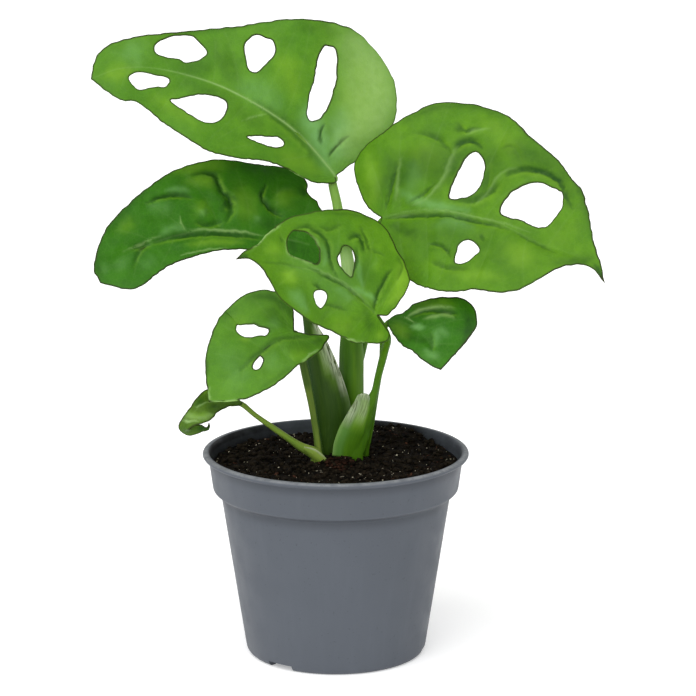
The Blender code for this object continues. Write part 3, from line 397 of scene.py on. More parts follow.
               ("dark", 0.95, -1.3, 1.2, [(20, -25.5), (23.5, -19), (19, -14), (12.5, -10.5)]),
               ("dark", 0.55, 0, 3, [(24.5, -6.5), (17.5, -5.5), (12, -7)]),
               ("dark", 0.9, -0.4, 1.5, [(74.5, 0), (64, 1), (49.5, 2.5), (35.5, 2.5), (24, 2)]),
               ("dark", 0.7, -0.6, 1.3, [(84, -1), (75.5, 0)]),
               ("dark", 0.75, -0.4, 2, [(6.5, -27.5), (4, -23)]),
               ("dark", 0.4, 0, 2.2, [(65, -28), (77, -20), (88.5, -13.5)]),
               ("dark", 0.5, 0, 1.8, [(97, -9.5), (101, -4), (103, 2)]),
               ("dark", 0.5, 0, 3, [(37.5, -30), (25.5, -33.5), (10.5, -32.5)]),
               ("dark", 0.5, -0.4, 0.9, [(89, 7), (81.5, 1.5), (77, 0.5)]),
               ("pale", 0.6, 0.3, 0.6, [(22.5, 0), (32.5, 0), (44.5, 0), (56, -1)]),
               ("pale", 0.5, 0.2, 0.4, [(58.5, -8.5), (59, -3.5), (57, -0.5)]),
               ("pale", 0.4, 0.2, 0.5, [(70, -2), (80, -1.5), (89, -1.5)]),
               ("pale", 0.6, 0, 0.4, [(65.5, 11), (52.5, 11), (39.5, 10.5)])],
        sheath=[("paper", 1.1, 127, 150, 0.55, 1.2), ("paper", 0.8, 118, 128, 0.7, 1.2),
                ("paper", 0.5, 130, 146, 0.15, 0.7), ("warm", 0.7, 127, 146, 0.0, 0.65),
                ("warm", 0.3, 121, 130, 0.25, 0.7),
                ("pale", 0.3, 90, 122, 0.85, 1.2), ("dark", 0.9, 88, 150, -1.2, -0.75)],
    ),
    "leaf_lower_left": dict(
        rib=[(-18, -20, 152), (-26, -23, 149), (-32, -26, 144), (-40, -30, 139), (-48, -35, 132),
             (-55, -40, 125)],
        across=((0.55, -0.5, -0.67), (0.6, -0.45, -0.66)),
        fold=(6, 8), arch=(2, 3), wave=(1, 35, 0),
        left_edge=[(0, 0), (-6, 4.5), (-12.5, 8.5), (-9.5, 11.5), (-5, 14), (4, 16), (16.5, 16),
                   (24.5, 16), (33, 14.5), (41, 10.5), (46, 6), (50.5, 0)],
        right_edge=[(0, 0), (-3.5, -8), (-4.5, -14.5), (-1, -20), (4, -23.5), (10, -25.5),
                    (17, -25.5), (23.5, -24), (31, -18), (37, -14), (42.5, -8.5), (50.5, 0)],
        holes=[
            [(20.5, -15.5), (17, -16.5), (13, -14), (11, -10.5), (10, -7.5), (9, -5.5), (11, -4.5),
             (13.5, -7), (18, -9.5), (20.5, -12)],
            [(19.5, 1), (19.5, 3), (21, 4.5), (23.5, 5.5), (25.5, 4.5), (25, 3), (22, 1.5)],
        ],
        foot=(-7.5, -4, 2.0, 1.9),
        stalk=[(-8.4, -4, 101, 1.7, 1.7, 0), (-10.6, -4.5, 115, 1.7, 1.6, 0),
               (-12.8, -6, 127, 2.0, 1.6, 0), (-14.5, -8, 136, 1.9, 1.5, 0),
               (-15.5, -12, 143.5, 1.4, 1.4, 0), (-16.5, -16.5, 148.5, 1.2, 1.2, 0)],
        tone="middle", puff=0.3, midrib=0.04, dry=0.0, stem="olive",
        veins=[(2, (0, -14)), (6, (8, -22)), (16, (24, -20)), (26, (33, -13)), (3, (-5, 9)),
               (9, (12, 12)), (18, (28, 12)), (28, (38, 8))],
        marks=[("bloom", 0.2, 0.4, 5, [(30, -11), (32.5, 0), (41, 4.5)]),
               ("bloom", 0.2, 0.3, 4, [(21, 6), (13.5, 7)]),
               ("bloom", 0.35, 0, 2.5, [(5, -9), (8, -4.5)]),
               ("warm", 0.4, 0.3, 3.5, [(-0.5, 10.5), (10, 12.5)]),
               ("warm", 0.3, 0, 4, [(19.5, -19.5), (11, -15)]),
               ("warm", 0.5, 0, 1.4, [(22, -10.5), (17.5, -8)]),
               ("dark", 0.1, 0, 12, [(-6, 0), (8, -2), (24, -2), (42, -1)]),
               ("dark", 0.45, 0, 3.5, [(0, -1), (3, -6), (4.5, -11), (4, -16)]),
               ("dark", 0.25, 0, 4, [(-6, 9), (1, 8), (9, 7)]),
               ("dark", 0.65, 0, 2.6, [(9, -23.5), (2.5, -18.5), (-2, -10.5), (-2, -2)]),
               ("dark", 0.45, 0, 2.2, [(10.5, -24), (22.5, -23.5)]),
               ("dark", 0.6, -0.4, 1.3, [(-8, 7), (6, 1.5), (15, 0), (23.5, 0.5), (31, 1)]),
               ("dark", 0.6, 0, 2.4, [(-9.5, 8.5), (-4, 9)]),
               ("dark", 0.5, 0, 1, [(36.5, -14), (42, -8)]),
               ("dark", 0.35, 0, 1.4, [(30, 13.5), (18.5, 14), (13, 15)]),
               ("pale", 0.8, 0, 0.45, [(4, 16), (-0.5, 13.5), (-6, 13)]),
               ("pale", 0.9, 0, 0.5, [(50, 0.5), (46, 6), (40.5, 11)]),
               ("pale", 0.7, 0, 0.45, [(45, -4.5), (48, -2), (50, 0.5)])],
        sheath=[("dark", 0.7, 122, 160, -1.2, 1.2), ("dark", 0.45, 84, 124, -1.2, -0.55),
                ("dark", 0.95, 84, 150, 0.6, 1.2), ("dark", 0.3, 104, 124, -1.2, 1.2)],
    ),
    "leaf_small_right": dict(
        rib=[(23, -4, 153.5), (29, -8, 153.5), (35, -13, 152), (40, -18.5, 148.5),
             (43.5, -24.5, 143.5), (46, -31, 137)],
        across=((0.1, 0.75, 0.65), (0.9, 0.2, 0.4)),
        fold=(22, 10), arch=(4, 3), wave=(0.8, 30, 0),
        left_edge=[(0, 0), (2, 2.5), (6, 4.5), (8.5, 9), (14, 15.5), (18, 21), (23, 25),
                   (30, 22.5), (33.5, 16), (38, 6), (41.5, 0)],
        right_edge=[(0, 0), (2.5, -4), (9.5, -8.5), (17, -10.5), (23, -10.5), (26, -9), (35, -6),
                    (41.5, 0)],
        holes=[],
        foot=(13.6, 1, 1.4, 1.4),
        stalk=[(15.8, 0, 104.5, 1.4, 1.4, 0), (18, -1.5, 119, 1.3, 1.3, 0),
               (20.5, -2.5, 135, 1.2, 1.2, 0), (21, -2, 147, 1.2, 1.2, 0)],
        tone="deep", puff=0.4, midrib=0.06, dry=0.7, stem="fresh",
        veins=[(8, (15, -8)), (18, (26, -7)), (20, (26, 18)), (28, (33, 10))],
        marks=[("bloom", 0.9, 0.4, 1.5, [(13, -0.5), (18.5, 2.5)]),
               ("bloom", 0.45, 0.5, 2, [(29.5, 0.5), (24, 6), (28, 8.5)]),
               ("bloom", 0.5, 0.4, 2.4, [(29, -4), (36, 0)]),
               ("warm", 0.5, 0, 3, [(2, -2), (9.5, -4), (18, -7)]),
               ("warm", 0.4, 0, 3, [(10, 8), (16, 14), (20.5, 19.5)]),
               ("dark", 0.95, -0.8, 1, [(11, 4.5), (14.5, 9), (20, 13.5), (23.5, 17.5)]),
               ("dark", 0.85, 0, 3, [(24, 20.5), (29.5, 19), (34.5, 12.5)]),
               ("dark", 0.6, 0, 2.2, [(13.5, -5.5), (21.5, -4), (25.5, 1.5)]),
               ("dark", 0.5, -0.4, 1, [(22, 3), (31.5, -1)]),
               ("dark", 0.4, 0, 1.5, [(8.5, 7), (13, 11.5), (16, 16.5)]),
               ("pale", 0.7, 0.4, 0.6, [(8, 2.5), (12, 7.5), (16.5, 13), (21, 18)]),
               ("pale", 0.6, 0.4, 0.8, [(16, 5.5), (19, 10), (21.5, 14), (24, 15)]),
               ("pale", 0.6, 0.2, 0.4, [(6.5, 3), (13, 2)])],
        sheath=[],
    ),
    "leaf_curled": dict(
        rib=[(-41, -18, 119.5), (-48.5, -22, 120.5), (-55, -26, 121.5), (-58.5, -28.5, 121),
             (-61, -31, 119), (-63.5, -33.5, 117), (-65.5, -35, 114.5), (-66.5, -35, 112),
             (-65, -34, 110.5), (-62, -32.5, 110.5), (-58.5, -31, 111), (-56, -30, 111),
             (-55.5, -29, 113.5)],
        across=((0, -0.8, -0.6), (0.1, -0.75, -0.65), (0.35, -0.65, -0.65),
                (0.65, -0.5, -0.55), (0.85, -0.5, -0.1), (0, -0.5, 0.85), (-0.4, -0.5, 0.75)),
        fold=(14, 14), arch=(2, 3), wave=(0, 30, 0),
        left_edge=[(0, 0), (2, 2), (7.5, 2.5), (11, 4), (15.5, 6.5), (20, 8.5), (24.5, 8.5),
                   (28, 8), (30, 7), (31, 5.5), (32.5, 4.2), (34.5, 3.2), (36.5, 3.2), (38.5, 4),
                   (41.5, 3.5), (44, 2), (46, 0.5), (48, 0.5), (50, 0)],
        right_edge=[(0, 0), (3, -2.5), (9, -5.5), (15.5, -6.5), (17.5, -5.5), (21.5, -3.5),
                    (27, -2.8), (30.5, -2.5), (34, -2.5), (37, -3), (39, -3.5), (41.5, -3),
                    (45, -2), (48, -1.5), (50, 0)],
        holes=[],
        foot=(-8.3, -11, 2.9, 2.2),
        stalk=[(-10.5, -11, 94.8, 2.7, 2.0, 0), (-15.5, -11.5, 97.4, 2.0, 1.6, 0),
               (-20.3, -12.5, 101, 1.5, 1.5, 0), (-28.3, -14.5, 107.3, 1.3, 1.3, 0),
               (-35.7, -16.5, 113.3, 1.1, 1.1, 0)],
        tone="young", puff=0.2, midrib=0.12, dry=0.9, stem="olive", behind=1.0,
        veins=[(12, (17, 6)), (18, (24, 8)), (12, (17, -4))],
        marks=[("warm", 0.5, 0, 2.2, [(29, -2), (27, 3), (23, 6.5)]),
               ("pale", 0.4, 0, 1.7, [(29.5, -3), (28.5, 1), (26, 5.5), (20, 7.5)]),
               ("pale", 0.8, 0.2, 0.5, [(32, -2), (31, 1.5), (29, 6)]),
               ("warm", 0.5, 0.2, 1.2, [(17.5, -5), (16, -6)]),
               ("dark", 0.35, 0, 3, [(31.5, -2), (34.5, 0), (37, 1), (41, 1.5), (46, 0)]),
               ("dark", 0.7, 0, 1.6, [(18.5, -2), (23.5, -1)]),
               ("dark", 0.6, 0, 1.4, [(21.5, 3.5), (12, 2.5)]),
               ("dark", 0.4, 0, 2.6, [(33, 0), (37, 0), (42, 0)]),
               ("dark", 1, 0, 2.2, [(42, 0), (46, 0), (51, 0)]),
               ("pale", 0.6, 0.2, 0.35, [(16.5, 0), (21, 0), (24.5, -1)])],
        flap=[(-4.8, -13.2, 90, 2.0, 0.9, 0.3), (-7.4, -13.4, 92.6, 2.4, 1.0, 0.5),
              (-10.6, -13.2, 95.2, 2.1, 0.9, 0.4), (-14.4, -13, 97.2, 0.8, 0.5, 0)],
        flap_tints=[("paper", 0.6, 92, 104, 0.75, 1.2), ("warm", 0.15, 86, 104, -1.2, 0.6)],
        sheath=[("warm", 0.35, 95, 120, -0.2, 0.6), ("dark", 0.5, 86, 120, -1.2, -0.6)],
    ),
}


def measure(name, description, default, least):
    """A length that a user would change."""
    return FloatProperty(
        name=name, description=description, default=default, min=least, unit="LENGTH",
        subtype="DISTANCE")


def swatch(name, description, default):
    """A colour that a user would change."""
    return FloatVectorProperty(
        name=name, description=description, default=default, size=3, min=0.0, max=1.0,
        subtype="COLOR")


def number(name, description, default, least):
    """A count that a user would change."""
    return IntProperty(name=name, description=description, default=default, min=least)


def angle(name, description, degrees):
    """An angle that a user would change."""
    return FloatProperty(
        name=name, description=description, default=math.radians(degrees), unit="ROTATION",
        subtype="ANGLE")


class PotSizes(bpy.types.PropertyGroup):
    """Sizes and colours of the nursery pot."""

    rim_radius: measure(
        "Rim radius", "From the pot's axis to the outside of the lip",
        (POT_HIGH.x - POT_LOW.x) / 2, 0.02)
    height: measure(
        "Height", "From the surface that it stands on to the top of the lip", POT_HIGH.z, 0.02)
    wall: measure("Wall", "Thickness of the moulded wall", 0.0012, 0.0004)
    sides: number("Sides", "Number of points round the pot", 144, 24)
    plastic: swatch("Plastic", "Colour of the moulded plastic", (0.080, 0.090, 0.107))
    # The lip colour is a painted highlight along the top edge of the lip.
    lip_highlight: swatch("Worn edge", "Colour where the lip is rubbed and dusty", (0.23, 0.24, 0.25))


class SoilSizes(bpy.types.PropertyGroup):
    """Sizes and colours of the potting soil and what lies on it."""

    crumbs: number("Crumbs", "Number of loose peat crumbs", 2600, 1)
    grains: number("Perlite grains", "Number of white grains", 260, 1)
    chips: number("Bark chips", "Number of bark chips and fibres", 170, 2)
    husks: number("Husks", "Number of pale dry husks at the front", 90, 1)
    clump: number("Clump", "Number of coarse bits round the foremost stalk", 150, 1)
    peat: swatch("Peat", "Colour of the damp peat", (0.0075, 0.0055, 0.0032))
    bark: swatch("Bark", "Colour of the chips and fibres", (0.050, 0.021, 0.012))
    perlite: swatch("Perlite", "Colour of the white grains", (0.40, 0.36, 0.27))


class LeafSizes(bpy.types.PropertyGroup):
    """Sizes and colours of the leaves and their stalks."""

    blade: measure("Blade", "Thickness of a leaf blade", 0.00046, 0.0001)
    mesh_step: measure(
        "Mesh step", "Distance between the points of a blade's mesh", 0.00115, 0.0004)
    stalk_sides: number("Stalk sides", "Number of points round a stalk", 32, 8)
    light: swatch("Light green", "Colour of the paler leaves", (0.072, 0.210, 0.005))
    middle: swatch("Middle green", "Colour of most leaves", (0.075, 0.224, 0.012))
    deep: swatch("Deep green", "Colour of the darker leaves", (0.027, 0.139, 0.003))
    young: swatch("Young green", "Colour of the small curled leaf", (0.066, 0.148, 0.010))
    warm: swatch("Warm tint", "Yellower green of the lit bulges", (0.170, 0.345, 0.018))
    # This tint is a painted sheen, the light's reflection on the glossy skin.
    bloom: swatch("Bloom", "Greyer green where the skin is waxy", (0.150, 0.340, 0.095))
    # The dark tint is painted shade in creases and on the shaded parts of stalks.
    dark: swatch("Dark tint", "Deep green of the creases", (0.012, 0.060, 0.003))
    pale: swatch("Pale tint", "Colour of the midribs and lit edges", (0.270, 0.430, 0.140))
    border: swatch("Border", "Thin dark line along the edges", (0.018, 0.026, 0.003))
    dry: swatch("Dry tip", "Colour of the withered tips", (0.022, 0.018, 0.006))
    fresh: swatch("Fresh stalk", "Colour of the brighter stalks", (0.060, 0.172, 0.005))
    dull: swatch("Dull stalk", "Colour of the wide dark sheath", (0.029, 0.077, 0.006))
    olive: swatch("Olive stalk", "Colour of the thin lower stalks", (0.165, 0.255, 0.038))
    paper: swatch("Sheath edge", "Papery edges of the sheaths", (0.48, 0.54, 0.38))


class StageSizes(bpy.types.PropertyGroup):
    """The floor, the lights and the camera."""

    floor: swatch("Floor", "Colour of the floor", (0.96, 0.96, 0.96))
    floor_width: measure("Floor width", "Width of the square floor", 30.0, 1.0)
    sky: FloatProperty(
        name="Sky", description="Strength of the even light from all sides", default=0.62,
        min=0.0)
    key: FloatProperty(
        name="Key light", description="Strength of the soft light from the upper left",
        default=2.2, min=0.0)
    softness: angle("Softness", "Width of the key light as seen from the plant", 75.0)
    distance: measure("Distance", "From the camera to the middle of the plant", 1.3, 0.2)
    pitch: angle("Pitch", "How far the camera looks down", 12.64)
    lens: FloatProperty(
        name="Lens", description="Focal length in millimetres", default=150.54, min=20.0)


# Curves


def spline_point(p0, p1, p2, p3, t):
    """A point between p1 and p2 on the smooth curve through four points."""
    return [
        0.5 * (2 * b + (c - a) * t + (2 * a - 5 * b + 4 * c - d) * t**2
               + (3 * b - a - 3 * c + d) * t**3)
        for a, b, c, d in zip(p0, p1, p2, p3)
    ]


def through(stops, steps, closed=False):
    """Points on a smooth curve through all the stops, with equal steps between two."""
    stops = [list(s) for s in stops]
    if closed:
        row = [stops[-1]] + stops + stops[:2]
    else:
        before = [2 * a - b for a, b in zip(stops[0], stops[1])]
        after = [2 * a - b for a, b in zip(stops[-1], stops[-2])]
        row = [before] + stops + [after]
    points = []
    for i in range(1, len(row) - 2):
        for k in range(steps):
            points.append(spline_point(*row[i - 1:i + 3], k / steps))
    if not closed:
        points.append(stops[-1])
    return points


def even(points, spacing, closed=False):
    """The same line again, with points an even spacing apart."""
    if closed:
        points = points + points[:1]
    run = [0.0]
    for a, b in zip(points, points[1:]):
        run.append(run[-1] + math.dist(a, b))
    count = max(3, round(run[-1] / spacing))
    out = []
    at = 0
    for k in range(count + 1):
        goal = run[-1] * k / count
        while at < len(run) - 2 and run[at + 1] < goal:
            at += 1
        share = (goal - run[at]) / (run[at + 1] - run[at])
        out.append([a + (b - a) * share for a, b in zip(points[at], points[at + 1])])
    return out[:-1] if closed else out


def nearest(spots, line):
    """The nearest place on a line of points to each flat spot, and how far along it is."""
    line = np.asarray(line, float)
    near = np.full(len(spots), 1e6)
    along = np.zeros(len(spots))
    feet = np.zeros((len(spots), 2))
    for i, (a, b) in enumerate(zip(line, line[1:])):
        way = b - a
        share = np.clip((spots - a) @ way / max(way @ way, 1e-9), 0.0, 1.0)
        foot = a + share[:, None] * way
        gap = np.hypot(*(spots - foot).T)
        nearer = gap < near
        along[nearer] = (i + share[nearer]) / (len(line) - 1)
        feet[nearer] = foot[nearer]
        near = np.minimum(near, gap)
    return near, along, feet


def distance_to(spots, line):
    """The distance from each flat spot to a line of points."""
    return nearest(spots, line)[0]


def bell(distance, width):
    """A soft hump that is 1 on a line and fades over its width."""
    return np.exp(-((distance / width) ** 2))


def within(spots, loop):
    """Whether each flat spot lies inside a closed line."""
    odd = np.zeros(len(spots), bool)
    x, y = spots[:, 0], spots[:, 1]
    for (x0, y0), (x1, y1) in zip(loop, loop[1:] + loop[:1]):
        if y0 != y1:
            odd ^= ((y0 > y) != (y1 > y)) & (x < x0 + (y - y0) * (x1 - x0) / (y1 - y0))
    return odd


# Leaf blades


class Blade:
    """The curved middle surface of a leaf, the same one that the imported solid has."""

    def __init__(self, leaf):
        line = through(leaf["rib"], 12)
        length = sum(math.dist(a, b) for a, b in zip(line, line[1:]))
        self.points = np.array(even(line, length / STATIONS))
        self.step = math.dist(self.points[0], self.points[1])
        self.length = self.step * (len(self.points) - 1)
        self.wave = leaf["wave"]
        ways = [Vector(a).normalized() for a in leaf["across"]]
        ways = through(ways, STATIONS // (len(ways) - 1))
        self.ahead, self.left, self.up = self.directions(ways)
        self.sections = [
            self.section(math.radians(fold), math.radians(arch))
            for fold, arch in zip(leaf["fold"], leaf["arch"])
        ]

    def directions(self, ways):
        """Unit directions along the midrib, to its left and up from it, at each station."""
        rows = []
        last = len(self.points) - 1
        for i, way in enumerate(ways):
            ahead = Vector(self.points[min(i + 1, last)] - self.points[max(i - 1, 0)])
            ahead.normalize()
            left = Vector(way)
            left = (left - ahead * left.dot(ahead)).normalized()
            rows.append((ahead, left, ahead.cross(left)))
        return (np.array([tuple(row[k]) for row in rows]) for k in range(3))

    @staticmethod
    def section(fold, arch):
        """Tables of width against how far out and how far up the surface lies."""
        step = 0.1
        middle = np.arange(0.0, WIDEST, step) + step / 2
        lean = fold * (1 - np.exp(-middle / FOLD_REACH)) - arch * middle / 10
        width = np.concatenate([[0.0], middle + step / 2])
        out = np.concatenate([[0.0], np.cumsum(np.cos(lean) * step)])
        rise = np.concatenate([[0.0], np.cumsum(np.sin(lean) * step)])
        return width, out, rise

    def stations(self, u):
        """Point and directions on the midrib for each u, straight on past its ends."""
        place = np.clip(u / self.step, 0.0, len(self.points) - 1.001)
        low = place.astype(int)
        share = (place - low)[:, None]
        point, ahead, left, up = (
            rows[low] * (1 - share) + rows[low + 1] * share
            for rows in (self.points, self.ahead, self.left, self.up)
        )
        over = u - np.clip(u, 0.0, self.length)
        return point + ahead * over[:, None], left, up

    def at(self, flat):
        """The place of each (u, v) in space."""
        u, v = flat[:, 0], flat[:, 1]
        point, left, up = self.stations(u)
        out = np.zeros(len(flat))
        rise = np.zeros(len(flat))
        for side, (width, outs, rises) in zip((v > 0, v <= 0), self.sections):
            out[side] = np.interp(np.abs(v[side]), width, outs)
            rise[side] = np.interp(np.abs(v[side]), width, rises)
        depth, pitch, phase = self.wave
        turn = 2 * math.pi * u / pitch + phase + np.where(v > 0, 0.0, 2.0)
        rise = rise + depth * (v / 30.0) ** 2 * np.sin(turn)
        return point + left * (np.sign(v) * out)[:, None] + up * rise[:, None]

    def normals(self, flat):
        """The way that the upper face looks at each (u, v)."""
        gap = 0.4
        along = self.at(flat + (gap, 0)) - self.at(flat - (gap, 0))
        aside = self.at(flat + (0, gap)) - self.at(flat - (0, gap))
        ways = np.cross(along, aside)
        return ways / np.linalg.norm(ways, axis=1)[:, None]


def vein_line(start, end):
    """A side vein that leaves the midrib steeply and bends towards the tip."""
    u, v = end
    steps = 10
    return [
        (start + (u - start) * (k / steps) ** 1.25, v * k / steps) for k in range(steps + 1)
    ]


def clouds(flat, size, level=0.0):
    """Soft noise between about -1 and 1 at each flat spot."""
    return np.array([noise.noise(Vector((u / size, v / size, level))) for u, v in flat])


def drift(flat, size, levels):
    """Soft noise along u and along v at each flat spot, each from its own level."""
    return np.stack([clouds(flat, size, level) for level in levels], axis=1)


def wobbled(line, closed):
    """The same line, a little uneven, with its ends kept when it is open."""
    line = np.array(line)
    shift = EDGE_WOBBLE * drift(line, WOBBLE_SIZE, (4.0, 13.0))
    if not closed:
        from_start = np.arange(len(line))
        from_end = from_start[::-1]
        share = np.minimum(1.0, np.minimum(from_start, from_end) / WOBBLE_ENDS)
        shift *= share[:, None]
    return (line + shift).tolist()


def outline_of(leaf, spacing):
    """The flat outline of a leaf and its holes, as closed lines."""
    left = wobbled(even(through(leaf["left_edge"], 8), spacing), False)
    right = wobbled(even(through(leaf["right_edge"], 8), spacing), False)
    edge = right + left[-2:0:-1]
    holes = [
        wobbled(even(through(hole, 8, True), spacing, True), True) for hole in leaf["holes"]]
    return edge, holes


def beside(line, gap):
    """A copy of a line, moved a gap to its left."""
    line = np.asarray(line, float)
    way = np.gradient(line, axis=0)
    way /= np.linalg.norm(way, axis=1)[:, None] + 1e-9
    return line + gap * np.stack([-way[:, 1], way[:, 0]], axis=1)


def mesh_spots(leaf, blade, edge, holes, step):
    """Inner points of the flat mesh: rows along rims, veins and marks, then an even net."""
    loops = [edge] + holes
    rows = []
    for loop in loops:
        closed = loop + loop[:2]
        for gap in RIM_ROWS:
            rows += [beside(closed, gap)[1:-1], beside(closed, -gap)[1:-1]]
    midrib = [(u, 0.0) for u in np.arange(0.5, blade.length, step)]
    lines = [midrib] + [even(vein_line(*vein), step) for vein in leaf["veins"]]
    lines += [
        even(through(line, 6), step) for *_, width, line in leaf["marks"] if width < FINE_MARK]
    for line in lines:
        for gap in LINE_ROWS:
            rows += [beside(line, gap)] + ([beside(line, -gap)] if gap else [])
    low = np.min(edge, axis=0)
    high = np.max(edge, axis=0)
    height = step * 0.87
    for k in range(int((high[1] - low[1]) / height) + 1):
        us = np.arange(low[0] + (k % 2) * step / 2, high[0], step)
        rows.append(np.stack([us, np.full(len(us), low[1] + k * height)], axis=1))
    spots = np.concatenate(rows)
    inside = within(spots, edge)
    for hole in holes:
        inside &= ~within(spots, hole)
    spots = spots[inside]
    rim = np.min([distance_to(spots, loop + loop[:1]) for loop in loops], axis=0)
    spots = spots[rim > RIM_ROWS[0] * 0.85]
    return thinned(spots, step * 0.42)


def thinned(spots, gap):
    """The spots without those that lie closer than a gap to an earlier one."""
    tree = kdtree.KDTree(len(spots))
    for i, spot in enumerate(spots):
        tree.insert((*spot, 0.0), i)
    tree.balance()
    dropped = set()
    kept = []
    for i, spot in enumerate(spots):
        if i in dropped:
            continue
        kept.append(spot)
        dropped.update(j for _, j, _ in tree.find_range((*spot, 0.0), gap))
    return np.array(kept)


def flat_mesh(edge, holes, spots):
    """Points and triangles that fill the flat outline round its holes."""
    points = []
    lines = []
    for loop in [edge] + holes:
        start = len(points)
        points += [Vector(p) for p in loop]
        lines += [(start + k, start + (k + 1) % len(loop)) for k in range(len(loop))]
    points += [Vector(spot) for spot in spots]
    filled = geometry.delaunay_2d_cdt(points, lines, [], 1, 1e-4)
    flat = np.array([tuple(p) for p in filled[0]])
    triangles = np.array(filled[2])
    middle = flat[triangles].mean(axis=1)
    keep = np.ones(len(triangles), bool)
    for hole in holes:
        keep &= ~within(middle, hole)
    return flat, triangles[keep]


def lay_mark(mark, blade, flat, places, tints):
    """Lay one mark's tint on the spots, and say how far it makes each of them rise."""
    tint, strength, height, width, line = mark
    fine = width < FINE_MARK
    reach, size = (0.5, 2.4) if fine else (0.4 * width, 1.3 * width)
    shifted = flat + reach * drift(flat, size, (2.0, 8.0))
    gap, along, feet = nearest(shifted, through(line, 6))
    ends = np.clip(np.minimum(along, 1 - along) / 0.3, 0.0, 1.0) ** 0.6
    rise = height * ends * bell(gap, max(width, 0.7) * 1.1)
    strength = strength * (0.3 + 0.7 * ends)
    width = width * (0.6 + 0.4 * ends)
    # A deep crease is painted shade: it fades wide on the side towards the light and stops short on
    # the other side, where a painted highlight on the crest beyond it is laid as warm tint.
    if tint == "dark" and height < -0.2:
        lit = np.tanh((places - blade.at(feet)) @ TOWARDS_LIGHT / 0.3) / 2 + 0.5
        cover = lit * bell(gap, width * 1.5) + (1 - lit) * bell(gap, width * 0.4)
        cover = np.minimum(1.0, 1.35 * cover)
        crest_highlight = 0.5 * strength * (1 - lit) * bell(gap - width * 0.9, width * 0.6)
        tints["warm"] = np.maximum(tints["warm"], crest_highlight)
    else:
        cover = bell(gap, width)
    tints[tint] = np.maximum(tints[tint], strength * cover)
    return rise


def bulges(leaf, flat, veins):
    """Soft bulges between a leaf's veins, stirred by broad and by fine clouds."""
    between = 0.7 - bell(np.minimum(veins, np.abs(flat[:, 1])), 3.0)
    return leaf["puff"] * (between + 0.9 * clouds(flat, 9.0) + 0.35 * clouds(flat, 3.2, 5.0))


def midrib_relief(leaf, blade, flat):
    """The ridge in a shallow trough along the midrib, and how pale it is, fading to its tip."""
    u, v = flat[:, 0], flat[:, 1]
    share = np.clip(u / blade.length, 0.0, 1.0)
    on_rib = (u > -1.0) & (u < blade.length)
    depth = min(1.0, 0.3 + leaf["midrib"]) * (1 - 0.7 * share) * on_rib
    rise = depth * (0.25 * bell(v, 0.5) - 0.3 * bell(v, 2.0))
    fading = 1 - 0.85 * np.clip((share - 0.5) / 0.3, 0.0, 1.0)
    return rise, leaf["midrib"] * fading * bell(v, 0.5 - 0.2 * share) * on_rib


def relief(leaf, blade, flat, rim):
    """How far each spot rises from the smooth surface, and how strong each tint is."""
    veins = np.min([distance_to(flat, vein_line(*vein)) for vein in leaf["veins"]], axis=0)
    rise = bulges(leaf, flat, veins)
    tints = {name: np.zeros(len(flat)) for name in TINTS}
    tints["pale"] = 0.05 * bell(veins, 0.4)
    places = blade.at(flat)
    for mark in leaf["marks"]:
        rise = rise + lay_mark(mark, blade, flat, places, tints)
    rib_rise, rib_pale = midrib_relief(leaf, blade, flat)
    tints["pale"] = np.maximum(tints["pale"], rib_pale)
    return rise * (1 - bell(rim, CALM_EDGE)) + rib_rise, tints


def blade_mesh(leaf, blade, sizes):
    """Points, faces and attribute values of one blade with its relief and soft rim."""
    step = sizes.mesh_step / MM
    edge, holes = outline_of(leaf, step * 0.9)
    spots = mesh_spots(leaf, blade, edge, holes, step)
    flat, triangles = flat_mesh(edge, holes, spots)
    rim = np.min([distance_to(flat, loop + loop[:1]) for loop in [edge] + holes], axis=0)
    rise, tints = relief(leaf, blade, flat, rim)
    normal = blade.normals(flat)
    middle = blade.at(flat) + normal * rise[:, None]
    round_off = np.sqrt(1 - (1 - np.minimum(rim / ROUND_RIM, 1.0)) ** 2)
    half = sizes.blade / MM / 2 * np.maximum(round_off, 0.18)
    points = np.concatenate([middle + normal * half[:, None], middle - normal * half[:, None]])
    count = len(flat)
    faces = triangles.tolist()
    faces += [(a + count, c + count, b + count) for a, b, c in triangles.tolist()]
    sides = {(a, b) for f in triangles.tolist() for a, b in zip(f, f[1:] + f[:1])}
    for a, b in sorted(sides):
        if (b, a) not in sides:
            faces += [(b, a, a + count), (b, a + count, b + count)]
    side = np.concatenate([np.ones(count), -np.ones(count)])
    twice = np.concatenate([flat, flat])
    values = {
        "place": np.stack([twice[:, 0], twice[:, 1], side], axis=1),
        "rim": np.concatenate([rim, rim]),
        "share": np.clip(twice[:, 0] / blade.length, 0.0, 1.0),
    }
    behind = leaf.get("behind", UNDERSIDE_TINTS)
    for name, strength in tints.items():
        values[name] = np.concatenate([strength, strength * behind])
    return points, faces, values


# Stalks


def stalk_stops(leaf, blade):
    """The stalk's rows from its foot in the soil to its end under the midrib."""
    x, y, half_width, half_depth = leaf["foot"]
    foot = [(x, y, z, half_width, half_depth, 0.0) for z in (FOOT_TOP_Z - FOOT_DEPTH, FOOT_TOP_Z)]
    under = []
    for k in range(MIDRIB_STOPS):
        share = (k / (MIDRIB_STOPS - 1)) ** 1.4
        radius = MIDRIB_R + (MIDRIB_TIP_R - MIDRIB_R) * share
        point, _, up = blade.stations(np.array([blade.length * MIDRIB_REACH * share]))
        point = point[0] - up[0] * (radius * 0.85 + MIDRIB_SINK)
        under.append((*point, radius, radius, 0.0))
    return foot[:1] + through(foot[1:] + leaf["stalk"] + under, STALK_STEPS)


def soft_step(value, low, high, blur):
    """1 between two numbers, fading to 0 over a blur at both."""
    return min(1.0, max(0.0, (value - low) / blur + 0.5)) * min(
        1.0, max(0.0, (high - value) / blur + 0.5))


